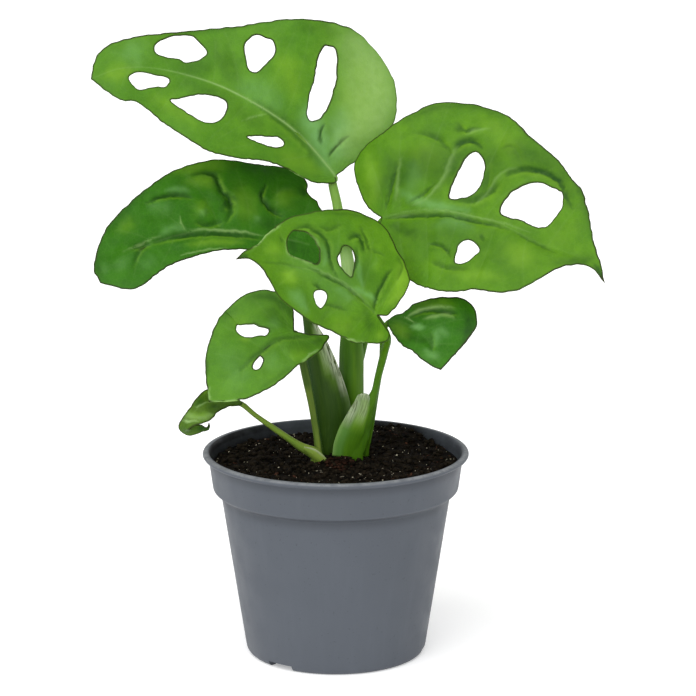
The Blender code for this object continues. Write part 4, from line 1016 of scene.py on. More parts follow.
def strip_tints(strips, z, across):
    """How strong each tint is at a height, for a place across a stalk from -1 to 1."""
    tints = dict.fromkeys(TINTS, 0.0)
    for tint, strength, low, high, left, right in strips:
        there = soft_step(z, low, high, 6.0) * soft_step(across, left, right, 0.3)
        tints[tint] = max(tints[tint], strength * there)
    return tints


def tube_mesh(rows, strips, sides):
    """Points, faces and attribute values of a stalk or a sheath."""
    centres = [Vector(row[:3]) for row in rows]
    side = Vector((1, 0, 0))
    points = []
    place = []
    tints = []
    run = 0.0
    for i, (*_, z, half_width, half_depth, curl) in enumerate(rows):
        ahead = centres[min(i + 1, len(rows) - 1)] - centres[max(i - 1, 0)]
        ahead.normalize()
        side = (side - ahead * side.dot(ahead)).normalized()
        deep = ahead.cross(side)
        run += (centres[i] - centres[max(i - 1, 0)]).length
        sheath = min(1.0, max(0.0, half_width / half_depth - 1.4) / 1.6)
        for k in range(sides):
            turn = 2 * math.pi * k / sides
            across = math.cos(turn)
            thin = 1 - 0.6 * sheath * across**2
            ripple = 0.22 * sheath * across**6 * math.sin(run * 0.7 + across)
            channel = -0.18 * half_depth * (1 - sheath) * bell(turn - math.pi / 2, 0.5)
            rise = half_depth * thin * math.sin(turn) + curl * (across**2 - 0.5)
            rise += ripple + channel
            points.append(centres[i] + side * (half_width * across) + deep * rise)
            place.append((half_width * across, half_depth * math.sin(turn), run))
            tints.append(strip_tints(strips, z, across))
    faces = []
    for i in range(len(rows) - 1):
        for k in range(sides):
            a = i * sides + k
            b = i * sides + (k + 1) % sides
            faces.append((a, b, b + sides, a + sides))
    faces.append(tuple(reversed(range(sides))))
    faces.append(tuple(range(len(points) - sides, len(points))))
    values = {
        "place": np.array(place),
        "rim": np.full(len(points), 5.0),
        "share": np.array([p[2] / run for p in place]),
    }
    for name in TINTS:
        values[name] = np.array([t[name] for t in tints])
    return np.array([tuple(p) for p in points]), faces, values


# Pieces


def joined(shapes):
    """The points and faces of several shapes as those of one."""
    faces = []
    count = 0
    for points, polygons in shapes:
        faces += [tuple(i + count for i in polygon) for polygon in polygons]
        count += len(points)
    return np.concatenate([points for points, _ in shapes]), faces


def new_piece(name, points, faces):
    """A smooth piece from points in millimetres and faces."""
    mesh = bpy.data.meshes.new(name)
    mesh.from_pydata((points * MM).tolist(), [], faces)
    mesh.shade_smooth()
    piece = bpy.data.objects.new(name, mesh)
    bpy.context.scene.collection.objects.link(piece)
    return piece


def add_values(mesh, values):
    """Keep number and vector values on a mesh's points, for its material."""
    for name, numbers in values.items():
        if numbers.ndim == 2:
            layer = mesh.attributes.new(name, "FLOAT_VECTOR", "POINT")
            layer.data.foreach_set("vector", numbers.astype(np.float32).ravel())
        else:
            layer = mesh.attributes.new(name, "FLOAT", "POINT")
            layer.data.foreach_set("value", numbers.astype(np.float32))


def grow_leaf(name, sizes):
    """One leaf as a single mesh: the blade, and the stalk on into its midrib."""
    leaf = LEAVES[name]
    blade = Blade(leaf)
    parts = [blade_mesh(leaf, blade, sizes),
             tube_mesh(stalk_stops(leaf, blade), leaf["sheath"], sizes.stalk_sides)]
    if "flap" in leaf:
        rows = through(leaf["flap"], STALK_STEPS)
        parts.append(tube_mesh(rows, leaf["flap_tints"], sizes.stalk_sides))
    points, faces = joined([part[:2] for part in parts])
    piece = new_piece(name + ".leaf", points, faces)
    mesh = piece.data
    add_values(mesh, {
        key: np.concatenate([part[2][key] for part in parts]) for key in parts[0][2]})
    mesh.materials.append(blade_finish(name, leaf, sizes))
    mesh.materials.append(stalk_finish(name, leaf, sizes))
    slots = np.zeros(len(faces), np.int32)
    slots[len(parts[0][1]):] = 1
    mesh.polygons.foreach_set("material_index", slots)
    mesh.update()
    return piece


# Materials


class Recipe:
    """A material built node by node round one shader."""

    def __init__(self, name):
        self.material = bpy.data.materials.new(name)
        self.material.use_nodes = True
        self.tree = self.material.node_tree
        self.shader = self.tree.nodes["Principled BSDF"]

    def add(self, kind, inputs=(), **settings):
        """A node with its settings, and its inputs linked or filled in."""
        made = self.tree.nodes.new(kind)
        for key, value in settings.items():
            setattr(made, key, value)
        for key, value in dict(inputs).items():
            self.put(made.inputs[key], value)
        return made

    def put(self, socket, value):
        """Link a socket to another, or fill in its value."""
        if isinstance(value, bpy.types.NodeSocket):
            self.tree.links.new(value, socket)
        elif socket.type == "RGBA":
            socket.default_value = (*value, 1.0)
        else:
            socket.default_value = value

    def spot(self):
        """The place on the object."""
        return self.add("ShaderNodeTexCoord").outputs["Object"]

    def value(self, name, vector=False):
        """A number or vector kept on the mesh."""
        made = self.add("ShaderNodeAttribute", attribute_name=name)
        return made.outputs["Vector" if vector else "Fac"]

    def stretched(self, vector, scale):
        """A place with each direction scaled."""
        made = self.add("ShaderNodeMapping", {"Vector": vector, "Scale": scale})
        return made.outputs["Vector"]

    def noise(self, vector, scale, detail=3.0, rough=0.5):
        """Soft cloudy values from 0 to 1."""
        made = self.add(
            "ShaderNodeTexNoise",
            {"Vector": vector, "Scale": scale, "Detail": detail, "Roughness": rough})
        return made.outputs["Fac"]

    def cells(self, vector, scale):
        """How far each place is from the edge of its cell in a net."""
        made = self.add(
            "ShaderNodeTexVoronoi", {"Vector": vector, "Scale": scale},
            feature="DISTANCE_TO_EDGE")
        return made.outputs["Distance"]

    def span(self, value, low, high, out_low=0.0, out_high=1.0):
        """A value moved smoothly from one range to another."""
        made = self.add(
            "ShaderNodeMapRange",
            {"Value": value, "From Min": low, "From Max": high, "To Min": out_low,
             "To Max": out_high},
            interpolation_type="SMOOTHSTEP")
        return made.outputs["Result"]

    def math(self, rule, first, second):
        """Two numbers joined by a rule such as ADD or SUBTRACT."""
        return self.add("ShaderNodeMath", {0: first, 1: second}, operation=rule).outputs[0]

    def times(self, first, second):
        """Two numbers multiplied."""
        return self.math("MULTIPLY", first, second)

    def between(self, value, rising, falling, top=1.0):
        """A value that rises to a top over one range and falls to zero over another."""
        return self.times(self.span(value, *rising, 0.0, top), self.span(value, *falling, 1.0, 0.0))

    def part(self, vector, axis):
        """One number out of a vector."""
        return self.add("ShaderNodeSeparateXYZ", {0: vector}).outputs[axis]

    def length(self, vector):
        """How long a vector is."""
        return self.add("ShaderNodeVectorMath", {0: vector}, operation="LENGTH").outputs["Value"]

    def blend(self, share, first, second):
        """Two colours mixed."""
        made = self.add("ShaderNodeMix", data_type="RGBA")
        self.put(made.inputs[0], share)
        self.put(made.inputs[6], first)
        self.put(made.inputs[7], second)
        return made.outputs[2]

    def bump(self, height, distance):
        """A bumped normal from a height."""
        made = self.add(
            "ShaderNodeBump", {"Height": height, "Distance": distance, "Strength": 1.0})
        return made.outputs["Normal"]

    def set(self, **inputs):
        """The shader's own sockets, by name with _ for a space."""
        for key, value in inputs.items():
            self.put(self.shader.inputs[key.replace("_", " ")], value)
        return self.material


def scaled(colour, share):
    """A colour made darker or lighter."""
    return tuple(min(1.0, c * share) for c in colour)


def tinted(mix, colour, sizes, cloud):
    """The tints that a mesh carries, laid over a colour and broken up by a cloud; most are painted
    shade, painted light and a painted sheen.
    """
    uneven = mix.span(cloud, 0.25, 0.75, 0.8, 1.1)
    for name in TINTS:
        colour = mix.blend(mix.times(mix.value(name), uneven), colour, getattr(sizes, name))
    return colour


def fan(mix, place):
    """Fine streaks that spread over a blade from the top of its stalk."""
    u, v = mix.part(place, 0), mix.part(place, 1)
    turn = mix.math("ARCTAN2", v, u)
    reach = mix.length(place)
    spread = mix.add("ShaderNodeCombineXYZ", {0: mix.times(turn, 9.0), 1: mix.times(reach, 0.12)})
    streaks = mix.span(mix.noise(spread.outputs[0], 1.0, 4.0, 0.7), 0.35, 0.65)
    return streaks, mix.span(reach, 3.0, 20.0, 0.3, 0.0)


def clouded(mix, green, spot, cloud):
    """A green with broad yellower clouds, darker patches and fine pale mottling."""
    yellower = (green[0] * 1.22, green[1] * 1.08, green[2])
    colour = mix.blend(mix.span(cloud, 0.32, 0.68), scaled(green, 0.88), yellower)
    patches = mix.noise(spot, 170.0, 2.0, 0.4)
    colour = mix.blend(mix.span(patches, 0.38, 0.62, 0.0, 0.35), colour, scaled(green, 0.72))
    mottle = mix.noise(spot, 420.0, 4.0, 0.65)
    return mix.blend(mix.span(mottle, 0.4, 0.7, 0.0, 0.16), colour, scaled(yellower, 1.25))


def bordered(mix, colour, sizes, cloud):
    """A colour with a thin, uneven dark line along a blade's edges where they aren't pale."""
    line = mix.span(mix.value("rim"), 0.25, 0.95, 0.95, 0.0)
    line = mix.times(line, mix.span(cloud, 0.3, 0.7, 0.7, 1.1))
    line = mix.times(line, mix.span(mix.value("pale"), 0.1, 0.6, 1.0, 0.0))
    return mix.blend(line, colour, sizes.border)


def blade_finish(name, leaf, sizes):
    """Waxy leaf blade: clouded green, traced tints that hold painted shade, painted light and a
    painted sheen, dark border, fine net and dry tip.
    """
    mix = Recipe(name + " blade")
    green = getattr(sizes, leaf["tone"])
    place = mix.value("place", vector=True)
    spot = mix.spot()
    cloud = mix.noise(spot, 60.0, 4.0, 0.6)
    colour = clouded(mix, green, spot, cloud)
    streaks, near_stalk = fan(mix, place)
    streaked = mix.blend(streaks, scaled(green, 0.5), scaled(green, 1.45))
    colour = mix.blend(near_stalk, colour, streaked)
    net = mix.span(mix.cells(place, 0.5), 0.0, 0.12, 1.0, 0.0)
    colour = mix.blend(mix.times(net, 0.03), colour, sizes.pale)
    colour = tinted(mix, colour, sizes, mix.noise(spot, 260.0, 3.0, 0.6))
    colour = bordered(mix, colour, sizes, cloud)
    tip = mix.span(mix.value("share"), 0.955, 1.0, 0.0, leaf["dry"])
    colour = mix.blend(tip, colour, sizes.dry)
    paler = 0.1 if "behind" in leaf else 0.55
    underside = mix.span(mix.part(place, 2), -0.5, 0.5, paler, 0.0)
    colour = mix.blend(underside, colour, (green[0] * 1.6, green[1] * 1.3, green[2] * 3.0))
    rough = mix.span(mix.noise(spot, 150.0, 3.0), 0.3, 0.7, 0.36, 0.5)
    fine = mix.noise(place, 2.6, 3.0, 0.6)
    height = mix.math("SUBTRACT", mix.times(fine, 0.6), mix.times(net, 0.3))
    return mix.set(
        Base_Color=colour, Roughness=rough, Normal=mix.bump(height, 0.00005),
        Subsurface_Weight=0.12, Subsurface_Radius=LEAF_GLOW, Subsurface_Scale=0.0005,
        Specular_IOR_Level=0.12)


def stalk_finish(name, leaf, sizes):
    """Juicy stalk with faint lengthwise fibres and a dry, papery sheath edge."""
    mix = Recipe(name + " stalk")
    green = getattr(sizes, leaf["stem"])
    place = mix.value("place", vector=True)
    streaks = mix.noise(mix.stretched(place, (0.5, 0.5, 0.05)), 1.0, 3.0, 0.55)
    yellower = (green[0] * 1.2, green[1] * 1.1, green[2])
    colour = mix.blend(mix.span(streaks, 0.35, 0.65), scaled(green, 0.9), yellower)
    fibres = mix.noise(mix.stretched(place, (3.5, 3.5, 0.12)), 1.0, 4.0, 0.65)
    colour = mix.blend(mix.span(fibres, 0.5, 0.8, 0.0, 0.08), colour, sizes.pale)
    ragged = mix.noise(mix.stretched(place, (1.6, 1.6, 0.15)), 1.0, 4.0, 0.7)
    # The sheath tints paint the shade that leaves cast on a stalk and the light on its lit parts,
    # over the stalk's own tones and papery edges.
    colour = tinted(mix, colour, sizes, ragged)
    lines = mix.noise(mix.stretched(place, (1.9, 1.9, 0.14)), 1.0, 3.0, 0.6)
    torn = mix.times(mix.value("paper"), mix.span(lines, 0.5, 0.55))
    colour = mix.blend(torn, colour, scaled(sizes.olive, 0.25))
    dried = mix.times(mix.value("paper"), ragged)
    rough = mix.span(dried, 0.0, 0.8, 0.42, 0.8)
    return mix.set(
        Base_Color=colour, Roughness=rough, Normal=mix.bump(fibres, 0.00012),
        Subsurface_Weight=0.12, Subsurface_Radius=LEAF_GLOW, Subsurface_Scale=0.0006,
        Specular_IOR_Level=0.14)


def painted_wall_shade(mix, spot, height, radius):
    """Painted shade on the pot's inner wall above the soil, in blotches, lighter on two stretches.
    """
    inward = mix.math("SUBTRACT", radius, mix.times(height, 0.1307))
    inner_wall = mix.times(
        mix.span(inward, 0.0449, 0.0453, 1.0, 0.0), mix.span(height, 0.080, 0.084))
    across = mix.part(spot, 0)
    right = mix.span(across, 0.034, 0.044)
    left = mix.between(across, (-0.031, -0.026), (-0.012, -0.006))
    unshaded = mix.math("ADD", right, left)
    blotches = mix.span(mix.noise(spot, 140.0, 5.0, 0.65), 0.3, 0.6, 0.75, 1.0)
    return mix.times(inner_wall, mix.math("SUBTRACT", blotches, mix.times(unshaded, 0.6)))


def plastic_finish(sizes):
    """Satin moulded plastic with flow lines, a painted highlight along the lip and painted shade on
    the inner wall and under the band and the lip.
    """
    mix = Recipe("moulded plastic")
    plastic = sizes.plastic
    spot = mix.spot()
    height = mix.part(spot, 2)
    radius = mix.length(mix.stretched(spot, (1.0, 1.0, 0.0)))
    cloud = mix.noise(spot, 30.0, 4.0)
    colour = mix.blend(mix.span(cloud, 0.3, 0.7, 0.0, 0.25), plastic, scaled(plastic, 1.2))
    flow = mix.noise(mix.stretched(spot, (1.0, 1.0, 0.04)), 220.0, 3.0)
    colour = mix.blend(mix.span(flow, 0.45, 0.8, 0.0, 0.12), colour, scaled(plastic, 1.5))
    # Painted highlight along the top edge of the lip, broken up by noise.
    lip = mix.times(mix.span(height, 0.0918, 0.0929), mix.span(radius, 0.0572, 0.0584))
    highlight_breakup = mix.span(mix.noise(spot, 260.0, 4.0, 0.6), 0.3, 0.7, 0.3, 0.9)
    colour = mix.blend(mix.times(lip, highlight_breakup), colour, sizes.lip_highlight)
    specks = mix.span(mix.noise(spot, 900.0, 2.0), 0.66, 0.74, 0.0, 0.5)
    colour = mix.blend(specks, colour, scaled(plastic, 0.6))
    # Painted shade on the inner wall above the soil.
    wall_shade = painted_wall_shade(mix, spot, height, radius)
    colour = mix.blend(wall_shade, colour, scaled(plastic, 0.05))
    # Painted shade under the band and under the lip.
    under_band = mix.between(height, (0.068, 0.0748), (0.0752, 0.0757), 0.5)
    under_lip = mix.between(height, (0.085, 0.0895), (0.0898, 0.0903), 0.4)
    for shade_below in (under_band, under_lip):
        colour = mix.blend(shade_below, colour, scaled(plastic, 0.45))
    grain = mix.noise(spot, 2600.0, 2.0)
    rough = mix.span(mix.noise(spot, 80.0, 4.0), 0.3, 0.7, 0.42, 0.56)
    fine = mix.math("ADD", mix.times(grain, 0.5), mix.times(flow, 0.5))
    return mix.set(
        Base_Color=colour, Roughness=rough, Normal=mix.bump(fine, 0.00004),
        Specular_IOR_Level=0.2)


def soil_finish(sizes):
    """Damp peat, nearly black, with browner crumbs and pale flecks."""
    mix = Recipe("damp peat")
    spot = mix.spot()
    cloud = mix.span(mix.noise(spot, 180.0, 5.0, 0.7), 0.4, 0.7)
    colour = mix.blend(cloud, scaled(sizes.peat, 0.3), scaled(sizes.peat, 2.1))
    red = mix.span(mix.noise(spot, 420.0, 3.0), 0.6, 0.7, 0.0, 0.5)
    colour = mix.blend(red, colour, scaled(sizes.bark, 0.5))
    fleck = mix.span(mix.noise(spot, 1500.0, 2.0), 0.7, 0.76, 0.0, 0.7)
    colour = mix.blend(fleck, colour, scaled(sizes.perlite, 0.35))
    fine = mix.noise(spot, 1100.0, 5.0, 0.65)
    return mix.set(
        Base_Color=colour, Roughness=mix.span(fine, 0.3, 0.7, 0.75, 0.95),
        Normal=mix.bump(fine, 0.0012), Specular_IOR_Level=0.06)


def loose_finish(name, colour, spread, rough):
    """One kind of loose matter on the soil, clouded and rough."""
    mix = Recipe(name)
    spot = mix.spot()
    cloud = mix.span(mix.noise(spot, 500.0, 4.0, 0.6), 0.3, 0.7)
    tint = mix.blend(cloud, scaled(colour, 1 - spread), scaled(colour, 1 + spread))
    fine = mix.noise(spot, 2200.0, 4.0, 0.6)
    return mix.set(
        Base_Color=tint, Roughness=mix.span(fine, 0.3, 0.7, rough - 0.1, rough),
        Normal=mix.bump(fine, 0.0003), Specular_IOR_Level=0.06)


def floor_finish(sizes):
    """Plain pale floor with a faint cloud, lit from below like a studio table."""
    mix = Recipe("pale floor")
    cloud = mix.span(mix.noise(mix.spot(), 3.0, 2.0), 0.3, 0.7, 0.0, 0.04)
    colour = mix.blend(cloud, sizes.floor, scaled(sizes.floor, 0.96))
    return mix.set(
        Base_Color=colour, Roughness=0.9, Specular_IOR_Level=0.1,
        Emission_Color=(1.0, 1.0, 1.0), Emission_Strength=0.3)


# Turned shapes


def soft_corners(profile):
    """The same profile with each inner corner rounded by a short arc."""
    points = [profile[0]]
    for before, here, after in zip(profile, profile[1:], profile[2:]):
        ends = []
        for other in (before, after):
            reach = math.dist(here, other)
            share = min(CORNER, reach * 0.42) / reach
            ends.append([a + (b - a) * share for a, b in zip(here, other)])
        for k in range(CORNER_STEPS + 1):
            t = k / CORNER_STEPS
            points.append([
                (1 - t) ** 2 * a + 2 * t * (1 - t) * b + t * t * c
                for a, b, c in zip(ends[0], here, ends[1])
            ])
    points.append(profile[-1])
    return points


def start_fresh():
    """Leave edit mode's and the frame's selection behind."""
    if bpy.context.object and bpy.context.object.mode != "OBJECT":
        bpy.ops.object.mode_set(mode="OBJECT")
    bpy.ops.object.select_all(action="DESELECT")


def turned(name, profile, sides):
    """A closed solid from a ring that is extruded and resized along a profile in millimetres."""
    start_fresh()
    radius, height = profile[0]
    bpy.ops.mesh.primitive_circle_add(
        vertices=sides, radius=radius * MM, fill_type="NOTHING", location=(0, 0, height * MM))
    thing = bpy.context.object
    thing.name = name
    bpy.ops.object.mode_set(mode="EDIT")
    bpy.ops.mesh.select_all(action="SELECT")
    for (r0, z0), (r1, z1) in zip(profile, profile[1:]):
        bpy.ops.mesh.extrude_region_move(TRANSFORM_OT_translate={"value": (0, 0, (z1 - z0) * MM)})
        bpy.ops.transform.resize(value=(r1 / r0, r1 / r0, 1), center_override=(0, 0, z1 * MM))
    bpy.ops.mesh.select_all(action="SELECT")
    bpy.ops.mesh.fill_holes(sides=0)
    bpy.ops.mesh.select_all(action="SELECT")
    bpy.ops.mesh.normals_make_consistent(inside=False)
    bpy.ops.object.mode_set(mode="OBJECT")
    bpy.ops.object.transform_apply(location=True, rotation=True, scale=True)
    return thing


def band_r(z):
    """The pot's outer radius on the band below the rim."""
    share = (z - BAND_FOOT_Z) / (BAND_TOP_Z - BAND_FOOT_Z)
    return BAND_FOOT_R + (BAND_TOP_R - BAND_FOOT_R) * share


def pot_outside(rim_r, rim_z):
    """The outer profile, from the pad under the floor to the top of the lip."""
    step = BAND_FOOT_Z
    return [
        (1.0, 0.0), (PAD_R, 0.0), (PAD_R + 1.2, FLOOR_Z), (RING_IN_R - 0.6, FLOOR_Z),
        (RING_IN_R, 0.0), (RING_OUT_R, 0.0), (39.7, 0.5), (40.6, 1.8),
        (WALL_FOOT_R, WALL_FOOT_Z), (WALL_TOP_R, step - 2.2),
        (WALL_TOP_R + 0.7, step - 1.1), (WALL_TOP_R + 2.4, step - 0.4),
        (BAND_FOOT_R, step + 0.7), (band_r(rim_z - 2.6), rim_z - 2.6),
        (rim_r - 0.6, rim_z - 2.1), (rim_r, rim_z - 1.2), (rim_r - 0.5, rim_z - 0.2),
        (rim_r - 1.6, rim_z),
    ]


def pot_inside(wall, rim_z, gap=0.0):
    """The inner profile, from the lip down to the middle, drawn in by a gap."""
    step = BAND_FOOT_Z
    floor = FLOOR_Z + wall + gap
    inner = wall + gap
    return [
        (BAND_TOP_R - inner + 0.6, rim_z), (band_r(rim_z) - inner, rim_z - 1.5),
        (band_r(SOIL_EDGE_Z) - inner, SOIL_EDGE_Z), (BAND_FOOT_R - inner, step + 1.6),
        (WALL_TOP_R - inner + 1.6, step + 0.6), (WALL_TOP_R - inner, step - 1.4),
        (WALL_FOOT_R - inner, floor + 0.8), (WALL_FOOT_R - inner - 0.8, floor),
        (PAD_R + 1.8 - gap, floor), (PAD_R - 1.0 - gap, wall + gap), (1.0, wall + gap),
    ]


def cut_away(thing, cutters):
    """Cut joined blocks or rods out of a solid, and remove them."""
    start_fresh()
    for cutter in cutters:
        cutter.select_set(True)
    bpy.context.view_layer.objects.active = cutters[0]
    bpy.ops.object.join()
    modifier = thing.modifiers.new("cut", "BOOLEAN")
    modifier.operation = "DIFFERENCE"
    modifier.object = cutters[0]
    start_fresh()
    thing.select_set(True)
    bpy.context.view_layer.objects.active = thing
    bpy.ops.object.modifier_apply(modifier="cut")
    bpy.data.objects.remove(cutters[0], do_unlink=True)


def on_circle(radius, turn):
    """A place on a circle round the pot's axis, in metres."""
    return radius * math.cos(turn) * MM, radius * math.sin(turn) * MM


def drain_rods():
    """Rods through the floor where the drain holes are."""
    rods = []
    for k in range(DRAIN_HOLES):
        x, y = on_circle(DRAIN_AT_R, 2 * math.pi * (k + 0.5) / DRAIN_HOLES)
        start_fresh()
        bpy.ops.mesh.primitive_cylinder_add(
            vertices=DRAIN_SIDES, radius=DRAIN_R * MM, depth=DRAIN_ROD_LENGTH * MM,
            location=(x, y, DRAIN_ROD_Z * MM))
        rods.append(bpy.context.object)
    return rods


def notch_blocks():
    """Blocks across the foot ring where the notches are."""
    blocks = []
    for k in range(NOTCHES):
        turn = NOTCH_TURN + 2 * math.pi * k / NOTCHES
        x, y = on_circle((RING_IN_R + WALL_FOOT_R) / 2, turn)
        start_fresh()
        bpy.ops.mesh.primitive_cube_add(size=1.0, location=(x, y, 0), rotation=(0, 0, turn))
        block = bpy.context.object
        block.scale = (NOTCH_BLOCK_DEPTH * MM, NOTCH_WIDTH * MM, 2 * NOTCH_HEIGHT * MM)
        blocks.append(block)
    return blocks


def model_pot(sizes):
    """The nursery pot with its lip, band, drain holes and notched foot ring."""
    rim_r = sizes.rim_radius / MM
    rim_z = sizes.height / MM
    profile = soft_corners(pot_outside(rim_r, rim_z) + pot_inside(sizes.wall / MM, rim_z))
    pot = turned("pot.shell", profile, sizes.sides)
    cut_away(pot, drain_rods())
    cut_away(pot, notch_blocks())
    pot.data.shade_smooth()
    pot.data.set_sharp_from_angle(angle=SHARP_ANGLE)
    pot.data.materials.append(plastic_finish(sizes))
    return pot


# Soil


def soil_height(x, y):
    """The lumpy surface, heaped round the stalks and in a few other places."""
    height = SOIL_EDGE_Z
    for at_x, at_y, radius, rise in HEAPS:
        height += rise * math.exp(-(((x - at_x) ** 2 + (y - at_y) ** 2) / radius**2))
    for size, rise, level in LUMP_LAYERS:
        height += rise * noise.noise(Vector((x, y, level)) / size)
    return height


def model_soil(sizes, pot_sizes):
    """The soil that fills the pot, with a crumbly top."""
    wall = pot_sizes.wall / MM
    inside = pot_inside(wall, pot_sizes.height / MM, SOIL_GAP)
    below = [stop for stop in reversed(inside) if stop[1] < SOIL_EDGE_Z - 1]
    edge_r = band_r(SOIL_EDGE_Z) - wall - SOIL_GAP
    rings = int((edge_r - 1.0) / SOIL_RING_STEP)
    top = [(edge_r - (edge_r - 1.0) * k / rings, SOIL_EDGE_Z) for k in range(rings + 1)]
    soil = turned("soil.bed", below + top, SOIL_SIDES)
    for vertex in soil.data.vertices:
        x, y, z = vertex.co / MM
        if abs(z - SOIL_EDGE_Z) < 0.01 and math.hypot(x, y) < edge_r - 0.3:
            vertex.co.z = soil_height(x, y) * MM
    soil.data.shade_smooth()
    soil.data.materials.append(soil_finish(sizes))
    return soil


def rough_lump(seed):
    """The points and faces of one uneven lump, modelled once to be copied."""
    start_fresh()
    bpy.ops.mesh.primitive_ico_sphere_add(subdivisions=1, radius=1.0)
    lump = bpy.context.object
    points = []
    for vertex in lump.data.vertices:
        swell = 1 + LUMP_ROUGHNESS * noise.noise(vertex.co * 1.7 + Vector((seed, 0, 0)))
        points.append(tuple(vertex.co * swell))
    faces = [tuple(face.vertices) for face in lump.data.polygons]
    bpy.data.objects.remove(lump, do_unlink=True)
    return np.array(points), faces


def clear_of_stalks(x, y):
    """Whether a place on the soil lies outside every stalk."""
    for leaf in LEAVES.values():
        at_x, at_y, half_width, half_depth = leaf["foot"]
        away = math.hypot(
            (x - at_x) / (half_width + STALK_ROOM), (y - at_y) / (half_depth + STALK_ROOM))
        if away < 1:
            return False
    return True


def scatter(name, count, sizes, shape, sink, seed, material, middle=(0.0, 0.0), reach=54.0):
    """Copies of rough lumps, strewn on the soil round a place and kept as one piece.

    Sizes are the least and most across, shape is the share of that along each of a lump's
    own directions, and sink is the share of its height that lies in the soil.
    """
    draw = random.Random(seed)
    lumps = [rough_lump(seed + k) for k in range(LUMP_FORMS)]
    copies = []
    while count > 0:
        away = reach * math.sqrt(draw.random())
        turn = draw.random() * 2 * math.pi
        x, y = middle[0] + away * math.cos(turn), middle[1] + away * math.sin(turn)
        if not clear_of_stalks(x, y):
            continue
        count -= 1
        size = sizes[0] + (sizes[1] - sizes[0]) * draw.random() ** 2.5
        points, faces = lumps[count % LUMP_FORMS]
        stretch = [s * (0.75 + 0.5 * draw.random()) * size / 2 for s in shape]
        tilt = (draw.uniform(-0.5, 0.5), draw.uniform(-0.5, 0.5), draw.random() * math.pi * 2)
        base = soil_height(x, y) + stretch[2] * (1 - 2 * sink)
        placed = (points * stretch) @ np.array(Euler(tilt).to_matrix()).T + (x, y, base)
        copies.append((placed, faces))
    piece = new_piece(name, *joined(copies))
    piece.data.materials.append(material)
    return piece


# Stage


def light_sky(scene, sizes):
    """Even white light from all sides."""
    world = bpy.data.worlds.new("studio")
    world.use_nodes = True
    background = world.node_tree.nodes["Background"]
    background.inputs["Color"].default_value = (1, 1, 1, 1)
    background.inputs["Strength"].default_value = sizes.sky
    scene.world = world


def light_key(scene, sizes):
    """A soft light from the upper left front."""
    light = bpy.data.lights.new("key", "SUN")
    light.energy = sizes.key
    light.angle = sizes.softness
    lamp = bpy.data.objects.new("key", light)
    lamp.rotation_euler = LIGHT_WAY.to_track_quat("-Z", "Y").to_euler()
    scene.collection.objects.link(lamp)


def place_camera(scene, sizes):
    """The camera at the photograph's angle."""
    data = bpy.data.cameras.new("camera")
    data.lens = sizes.lens
    data.sensor_width = 36.0
    data.clip_end = VIEW_REACH
    ahead = Vector((0, math.cos(sizes.pitch), -math.sin(sizes.pitch)))
    camera = bpy.data.objects.new("camera", data)
    camera.location = AIM - ahead * sizes.distance
    camera.rotation_euler = ahead.to_track_quat("-Z", "Y").to_euler()
    scene.collection.objects.link(camera)
    scene.camera = camera


# Operators


def spoken(key):
    """A key as words for the sidebar."""
    return key.replace("_", " ").capitalize()


class PLANT_OT_pot(bpy.types.Operator):
    """Turn the pot and cut its drain holes and notches"""

    bl_idname = "plant.pot"
    bl_label = "Pot"

    def execute(self, context):
        pot = model_pot(context.scene.pot_sizes)
        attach(pot, "root")
        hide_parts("pot")
        return {"FINISHED"}


class PLANT_OT_soil(bpy.types.Operator):
    """Fill the pot with soil"""

    bl_idname = "plant.soil"
    bl_label = "Soil"

    def execute(self, context):
        soil = model_soil(context.scene.soil_sizes, context.scene.pot_sizes)
        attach(soil, "root")
        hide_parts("soil")
        return {"FINISHED"}


class PLANT_OT_scatter(bpy.types.Operator):
    """Strew crumbs, grains, bark chips, fibres, husks and coarse bits over the soil"""

    bl_idname = "plant.scatter"
    bl_label = "Crumbs, grains and chips"

    def execute(self, context):
        sizes = context.scene.soil_sizes
        peat = loose_finish("peat crumbs", scaled(sizes.peat, 1.3), 0.95, 0.95)
        bark = loose_finish("bark chips", sizes.bark, 0.5, 0.85)
        rust = loose_finish("coarse bits", scaled(sizes.bark, 0.45), 0.8, 0.85)
        perlite = loose_finish("perlite", sizes.perlite, 0.3, 0.9)
        husk = loose_finish("dry husks", scaled(sizes.perlite, 0.4), 0.6, 0.9)
        chips = sizes.chips // 2
        flat_chip, thin_fibre = (1.0, 0.5, 0.22), (1.0, 0.1, 0.1)
        kinds = [
            scatter("soil.crumbs", sizes.crumbs, (0.5, 5.0), (1.0, 0.65, 0.5), 0.25, 11, peat),
            scatter("soil.grains", sizes.grains, (0.35, 1.1), (1.0, 0.9, 0.8), 0.2, 23, perlite),
            scatter("soil.chips", chips, (0.8, 3.6), flat_chip, 0.2, 37, bark),
            scatter("soil.fibres", chips, (1.5, 5.0), thin_fibre, 0.1, 53, bark),
            scatter("soil.husks", sizes.husks, (0.5, 2.4), (1.0, 0.35, 0.25), 0.0, 91, husk,
                    middle=(9.0, -34.0), reach=20.0),
            scatter("soil.clump", sizes.clump, (0.8, 3.2), (1.0, 0.7, 0.6), 0.1, 71, rust,
                    middle=(1.5, -15.0), reach=7.0),
        ]
        for piece in kinds:
            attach(piece, "root")
        return {"FINISHED"}


class PLANT_OT_leaf(bpy.types.Operator):
    """Grow one leaf with its stalk"""

    bl_idname = "plant.leaf"
    bl_label = "Leaf"

    which: EnumProperty(
        name="Which", description="The leaf to grow",
        items=[(key, spoken(key), "") for key in LEAVES])

    def execute(self, context):
        piece = grow_leaf(self.which, context.scene.leaf_sizes)
        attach(piece, "root")
        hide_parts(self.which)
        return {"FINISHED"}


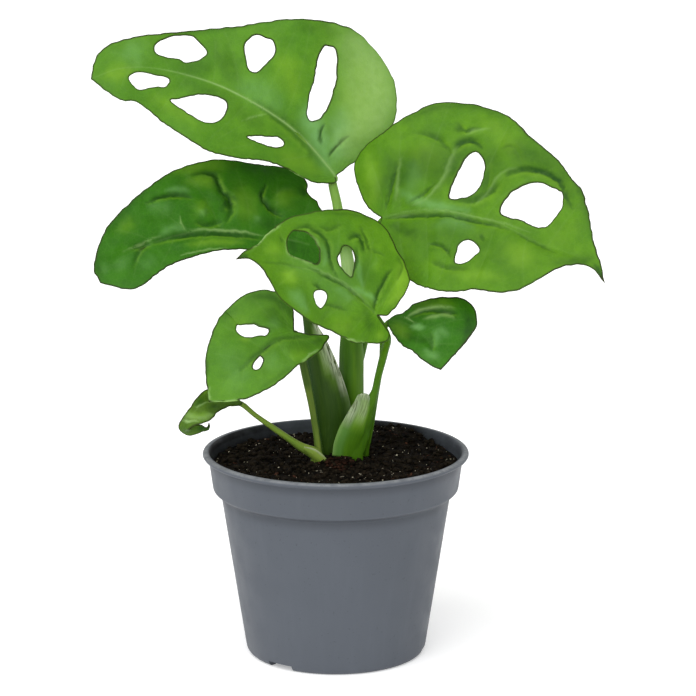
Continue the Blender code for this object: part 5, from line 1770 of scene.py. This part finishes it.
class PLANT_OT_stage(bpy.types.Operator):
    """Set up the floor, the even sky, the soft key light and the camera"""

    bl_idname = "plant.stage"
    bl_label = "Stage"

    def execute(self, context):
        sizes = context.scene.stage_sizes
        start_fresh()
        bpy.ops.mesh.primitive_plane_add(size=sizes.floor_width)
        floor = context.object
        floor.name = "floor"
        floor.data.materials.append(floor_finish(sizes))
        light_sky(context.scene, sizes)
        light_key(context.scene, sizes)
        place_camera(context.scene, sizes)
        context.scene.view_settings.view_transform = "Standard"
        return {"FINISHED"}


class PLANT_PT_sidebar(bpy.types.Panel):
    """Lists the pieces of the plant"""

    bl_label = "Potted swiss cheese vine"
    bl_idname = "PLANT_PT_sidebar"
    bl_space_type = "VIEW_3D"
    bl_region_type = "UI"
    bl_category = "Plant"

    def draw(self, context):
        layout = self.layout
        for step in ("plant.stage", "plant.pot", "plant.soil", "plant.scatter"):
            layout.operator(step)
        for key in LEAVES:
            layout.operator("plant.leaf", text=spoken(key)).which = key
        for sizes in SIZES:
            group = getattr(context.scene, sizes)
            box = layout.box()
            for name in group.bl_rna.properties.keys():
                if name not in ("rna_type", "name"):
                    box.prop(group, name)


SIZES = {
    "pot_sizes": PotSizes, "soil_sizes": SoilSizes, "leaf_sizes": LeafSizes,
    "stage_sizes": StageSizes,
}
CLASSES = (
    *SIZES.values(), PLANT_OT_pot, PLANT_OT_soil, PLANT_OT_scatter, PLANT_OT_leaf,
    PLANT_OT_stage, PLANT_PT_sidebar,
)


def register():
    """Add the classes, and the sizes that each scene keeps, to Blender."""
    for item in CLASSES:
        bpy.utils.register_class(item)
    for name, group in SIZES.items():
        setattr(bpy.types.Scene, name, PointerProperty(type=group))


def unregister():
    """Take the sizes and the classes out again."""
    for name in SIZES:
        delattr(bpy.types.Scene, name)
    for item in reversed(CLASSES):
        bpy.utils.unregister_class(item)


def main():
    """Model the whole plant and its stage."""
    register()
    bpy.ops.plant.stage()
    bpy.ops.plant.pot()
    bpy.ops.plant.soil()
    bpy.ops.plant.scatter()
    for key in LEAVES:
        bpy.ops.plant.leaf(which=key)


if __name__ == "__main__":
    main()
